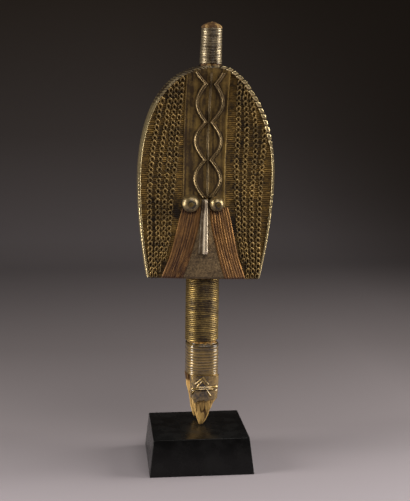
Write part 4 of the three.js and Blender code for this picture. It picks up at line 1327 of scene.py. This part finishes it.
class RELIQUARY_OT_nose(bpy.types.Operator):
    """Adds the blade of the nose with its two ridges"""

    bl_idname = "reliquary.nose"
    bl_label = "Nose"

    def execute(self, context):
        sides, around = profile((-2.9, -2.8, -2.3, -1.8, -1.15, -1.0, -0.8, -0.5, 0, 0.5, 0.8, 1.0, 1.05),
                                (0, 0.1, 0.2, 0.16, 0.24, 0.8, 1.0, 0.86, 0.74, 0.86, 1.0, 0.3, 0))

        def shape(u, v):
            z = mix(25.6, 79.0, v)
            half = mix(2.2, 1.4, v)
            height = mix(6.0, 4.0, v) * (0.72 + 0.28 * smooth(v, 0, 0.05)) * (1 - 0.35 * smooth(v, 0.96, 1.0))
            w, h = around(u)
            w = w * half
            streak = lumps(plane(w, z), (0.8, 1, 16), 122)
            dent = 0.02 * lumps(plane(w * 2, z), 4, 121)
            relief = np.where(w < -1.05 * half, -0.4, 0.3) + 0.6 * h + 0.25 * streak
            return on_face(w - 1.3, z, RELIEF + h * height * (1 + dent)), relief

        nose = rolled("nose_ridged", sides, 90, shape, HEAD)
        dress(nose, "pale_brass", "nose_blade", angle=70)
        return {"FINISHED"}


class RELIQUARY_OT_cheeks(bpy.types.Operator):
    """Adds the granular plate under the nose and the ridged copper bands beside it"""

    bl_idname = "reliquary.cheeks"
    bl_label = "Cheek plate and copper bands"

    def execute(self, context):
        plate = sheet("cheek_grain", 64, 110, self.plate, HEAD, 0.4)
        dress(plate, "grain_brass", "cheek_plate")
        for word, side in (("left", -1), ("right", 1)):
            band = sheet(f"copper_ridged_{word}", 64, 100, lambda u, v: self.band(u, v, side), HEAD, 0.5)
            dress(band, "ridged_copper", f"copper_band_{word}")
        return {"FINISHED"}

    def plate(self, u, v):
        z = mix(0.3, CHEEK_TOP, v)
        x = FACE_X + (2 * u - 1) * (edge_at(BAND_INNER, z) - 0.3)
        grain = 0.6 * lumps(plane(x, z), 0.8, 131) + 0.4 * lumps(plane(x, z), 1.5, 132)
        worn = bell(x - 4.6, 2.2) * bell(z - 45, 9)
        # The lowest 2.6 mm of the plate are painted darker, as painted shadow along the chin edge.
        relief = 0.3 + 0.35 * grain + 0.4 * worn - 0.5 * smooth(2.6 - z, 0, 1.6)
        return on_face(x, z, PLATES + 0.35 * grain), relief

    def band(self, u, v, side):
        z = mix(0.3, CHEEK_TOP, v)
        w = u if side > 0 else 1 - u
        x = FACE_X + side * mix(edge_at(BAND_INNER, z), edge_at(BAND_OUTER, z), w)
        along = plane(w * 24, z)
        ridge = np.abs(np.sin(math.pi * (w * 8 + 0.12 * lumps(along, (6, 1, 20), 151)))) ** 0.8
        streak = lumps(along, (0.9, 1, 12), 143 + side)
        dent = lumps(along, (3, 1, 8), 146 + side)
        edge = smooth(np.abs(2 * w - 1), 0.9, 1.0)
        # Painted shadow: the tops of the copper bands are painted darker under the eyes, and their lowest 2.6 mm
        # darker along the chin edge.
        painted_eye_shadow = smooth(z, 62, 69) * bell(x - EYES_X - side * EYE_SPREAD, 7)
        tone = 0.36 + side * 0.08 + 0.2 * ridge + 0.3 * streak + 0.14 * dent + 0.2 * edge
        tone = tone - 0.6 * painted_eye_shadow - 0.5 * smooth(2.6 - z, 0, 1.6)
        return on_face(x, z, 2.45 + 0.5 * ridge + 0.1 * streak + 0.08 * dent), tone


class RELIQUARY_OT_stitches(bpy.types.Operator):
    """Runs the columns of stitched links down both sides of the face"""

    bl_idname = "reliquary.stitches"
    bl_label = "Stitched columns"

    def execute(self, context):
        sizes = context.scene.reliquary_sizes
        pitch, width, wire = sizes.link_pitch / MM, sizes.link_width / MM, sizes.link_wire / MM
        for (word, side), number in itertools.product((("left", -1), ("right", 1)), range(4)):
            heights = self.heights(pitch, width / 2, side, number)
            self.column(word, side, number, heights, pitch, width, wire)
        return {"FINISHED"}

    def heights(self, pitch, half, side, number):
        """Middles of the links that lie clear of the rim, the copper band and the panel."""
        z = half + np.arange(int(HEIGHT / pitch)) * pitch
        middle = column_middle(z, number, side)
        narrow = half * self.narrowed(z, side, number)
        outside = side * (middle + narrow)
        room = np.minimum(room_at(outside, z), room_at(outside, z + half) + 0.6)
        inside = np.where(z < CHEEK_TOP + half, edge_at(BAND_OUTER, z - half) - side * 1.6, PANEL_LEFT)
        return z[(room > -0.4) & (middle - narrow > inside)]

    def narrowed(self, z, side, number):
        """The links are narrower where the columns run closer together."""
        middle = column_middle(z, number, side)
        near = [np.abs(column_middle(z, n, side) - middle) for n in (number - 1, number + 1) if 0 <= n < 4]
        return np.minimum(1, np.min(near, axis=0) / 5.5)

    def column(self, word, side, number, heights, pitch, width, wire):
        clear()
        bpy.ops.mesh.primitive_torus_add(major_segments=12, minor_segments=5, major_radius=(width - wire) / 2 * MM,
                                         minor_radius=wire / 2 * MM, rotation=(math.pi / 2, 0, 0))
        piece = fresh(f"stitches_{word}_{number + 1}")
        with edit(piece):
            bpy.ops.transform.resize(value=(1, 1, 1.28))
        modify(piece, "ARRAY", count=len(heights), use_relative_offset=False, use_constant_offset=True,
               constant_offset_displace=(0, 0, pitch * MM))
        co = vectors(piece) / MM
        link = np.arange(len(co)) // (len(co) // len(heights))
        level = heights[link]
        rise = co[:, 2] - link * pitch
        draw = np.random.default_rng(150 + number + (side > 0) * 10)
        ranges = ((-0.25, 0.25), (0.9, 1.06), (-0.12, 0.12), (-0.14, 0.12))
        shift, scale, lean, tone = (draw.uniform(*ends, len(heights))[link] for ends in ranges)
        x = side * column_middle(level, number, side) + shift + lean * rise
        x = x + co[:, 0] * scale * self.narrowed(level, side, number)
        proud = 1.3 - co[:, 1] + wire / 2 + np.where(rise > 0, 0.2, 0.28) * rise
        put(piece, on_face(x, level + rise * scale, np.maximum(proud, 1.0)), HEAD)
        mark(piece, 0.34 * (proud - 1.3) + 0.13 + (side > 0) * 0.05 + tone)
        dress(piece, "link_brass", f"stitch_column_{word}_{number + 1}", angle=80)


class RELIQUARY_OT_back(bpy.types.Operator):
    """Covers the back of the head with plainer strips and an upright band"""

    bl_idname = "reliquary.back"
    bl_label = "Back of the head"

    def execute(self, context):
        pitch = 2 * context.scene.reliquary_sizes.strip_pitch / MM
        low, half_band = 24.0, 7.5
        count = round((TOP - low) / pitch)

        def shape(u, v):
            z = mix(low, TOP, v)
            x = across_head(1 - u, z)
            at = v * count
            crest = np.nan_to_num(np.sin(math.pi * (at - np.floor(at))) ** 0.5)
            wander = 0.5 * lumps(plane(x, z), (30, 1, 24), 161)
            dent = lumps(plane(x, z), 8, 162)
            height = STRIPS - 0.4 * (1 - crest) + 0.12 * dent - 0.1
            return on_back(x, np.clip(z + wander * np.sin(math.pi * v), low, TOP), height), crest * 0.75 + 0.2 * dent

        def band(u, v):
            x = mix(half_band, -half_band, u)
            z = mix(low, HEIGHT - 1.2, v)
            edge = bell(half_band - np.abs(x) - 0.9, 0.7)
            dent = lumps(plane(x, z), 5, 165)
            return on_back(x, z, PLATES + 0.3 * edge + 0.12 * dent), 0.45 + 0.4 * edge + 0.2 * dent

        dress(sheet("back_strips", 56, count * 6, shape, HEAD, 0.8), "strip_brass", "back_laminae")
        dress(sheet("back_band", 40, 150, band, HEAD, 0.5), "worn_grey_brass", "back_strip")
        return {"FINISHED"}


class RELIQUARY_PT_panel(bpy.types.Panel):
    """The figure's pieces, sizes and colours"""

    bl_label = "Reliquary figure"
    bl_idname = "RELIQUARY_PT_panel"
    bl_space_type = "VIEW_3D"
    bl_region_type = "UI"
    bl_category = "Reliquary"

    def draw(self, context):
        for group in (context.scene.reliquary_sizes, context.scene.reliquary_colours):
            box = self.layout.box()
            for key in group.bl_rna.properties.keys():
                if key not in ("rna_type", "name"):
                    box.prop(group, key)
        for operator in OPERATORS:
            self.layout.operator(operator.bl_idname)


OPERATORS = (
    RELIQUARY_OT_stage,
    RELIQUARY_OT_block,
    RELIQUARY_OT_foot,
    RELIQUARY_OT_head_wood,
    RELIQUARY_OT_wires,
    RELIQUARY_OT_shoulder_bands,
    RELIQUARY_OT_motif,
    RELIQUARY_OT_face_strips,
    RELIQUARY_OT_rim,
    RELIQUARY_OT_forehead,
    RELIQUARY_OT_interlace,
    RELIQUARY_OT_eyes,
    RELIQUARY_OT_nose,
    RELIQUARY_OT_cheeks,
    RELIQUARY_OT_stitches,
    RELIQUARY_OT_back,
)
CLASSES = (ReliquarySizes, ReliquaryColours, *OPERATORS, RELIQUARY_PT_panel)


def register():
    for cls in CLASSES:
        bpy.utils.register_class(cls)
    bpy.types.Scene.reliquary_sizes = bpy.props.PointerProperty(type=ReliquarySizes)
    bpy.types.Scene.reliquary_colours = bpy.props.PointerProperty(type=ReliquaryColours)


def unregister():
    del bpy.types.Scene.reliquary_colours
    del bpy.types.Scene.reliquary_sizes
    for cls in reversed(CLASSES):
        bpy.utils.unregister_class(cls)


def main():
    register()
    bpy.ops.reliquary.stage()
    bpy.ops.reliquary.block()
    bpy.ops.reliquary.foot()
    bpy.ops.reliquary.head_wood()
    bpy.ops.reliquary.wires()
    bpy.ops.reliquary.shoulder_bands()
    bpy.ops.reliquary.motif()
    bpy.ops.reliquary.face_strips()
    bpy.ops.reliquary.rim()
    bpy.ops.reliquary.forehead()
    bpy.ops.reliquary.interlace()
    bpy.ops.reliquary.eyes()
    bpy.ops.reliquary.nose()
    bpy.ops.reliquary.cheeks()
    bpy.ops.reliquary.stitches()
    bpy.ops.reliquary.back()


if __name__ == "__main__":
    main()
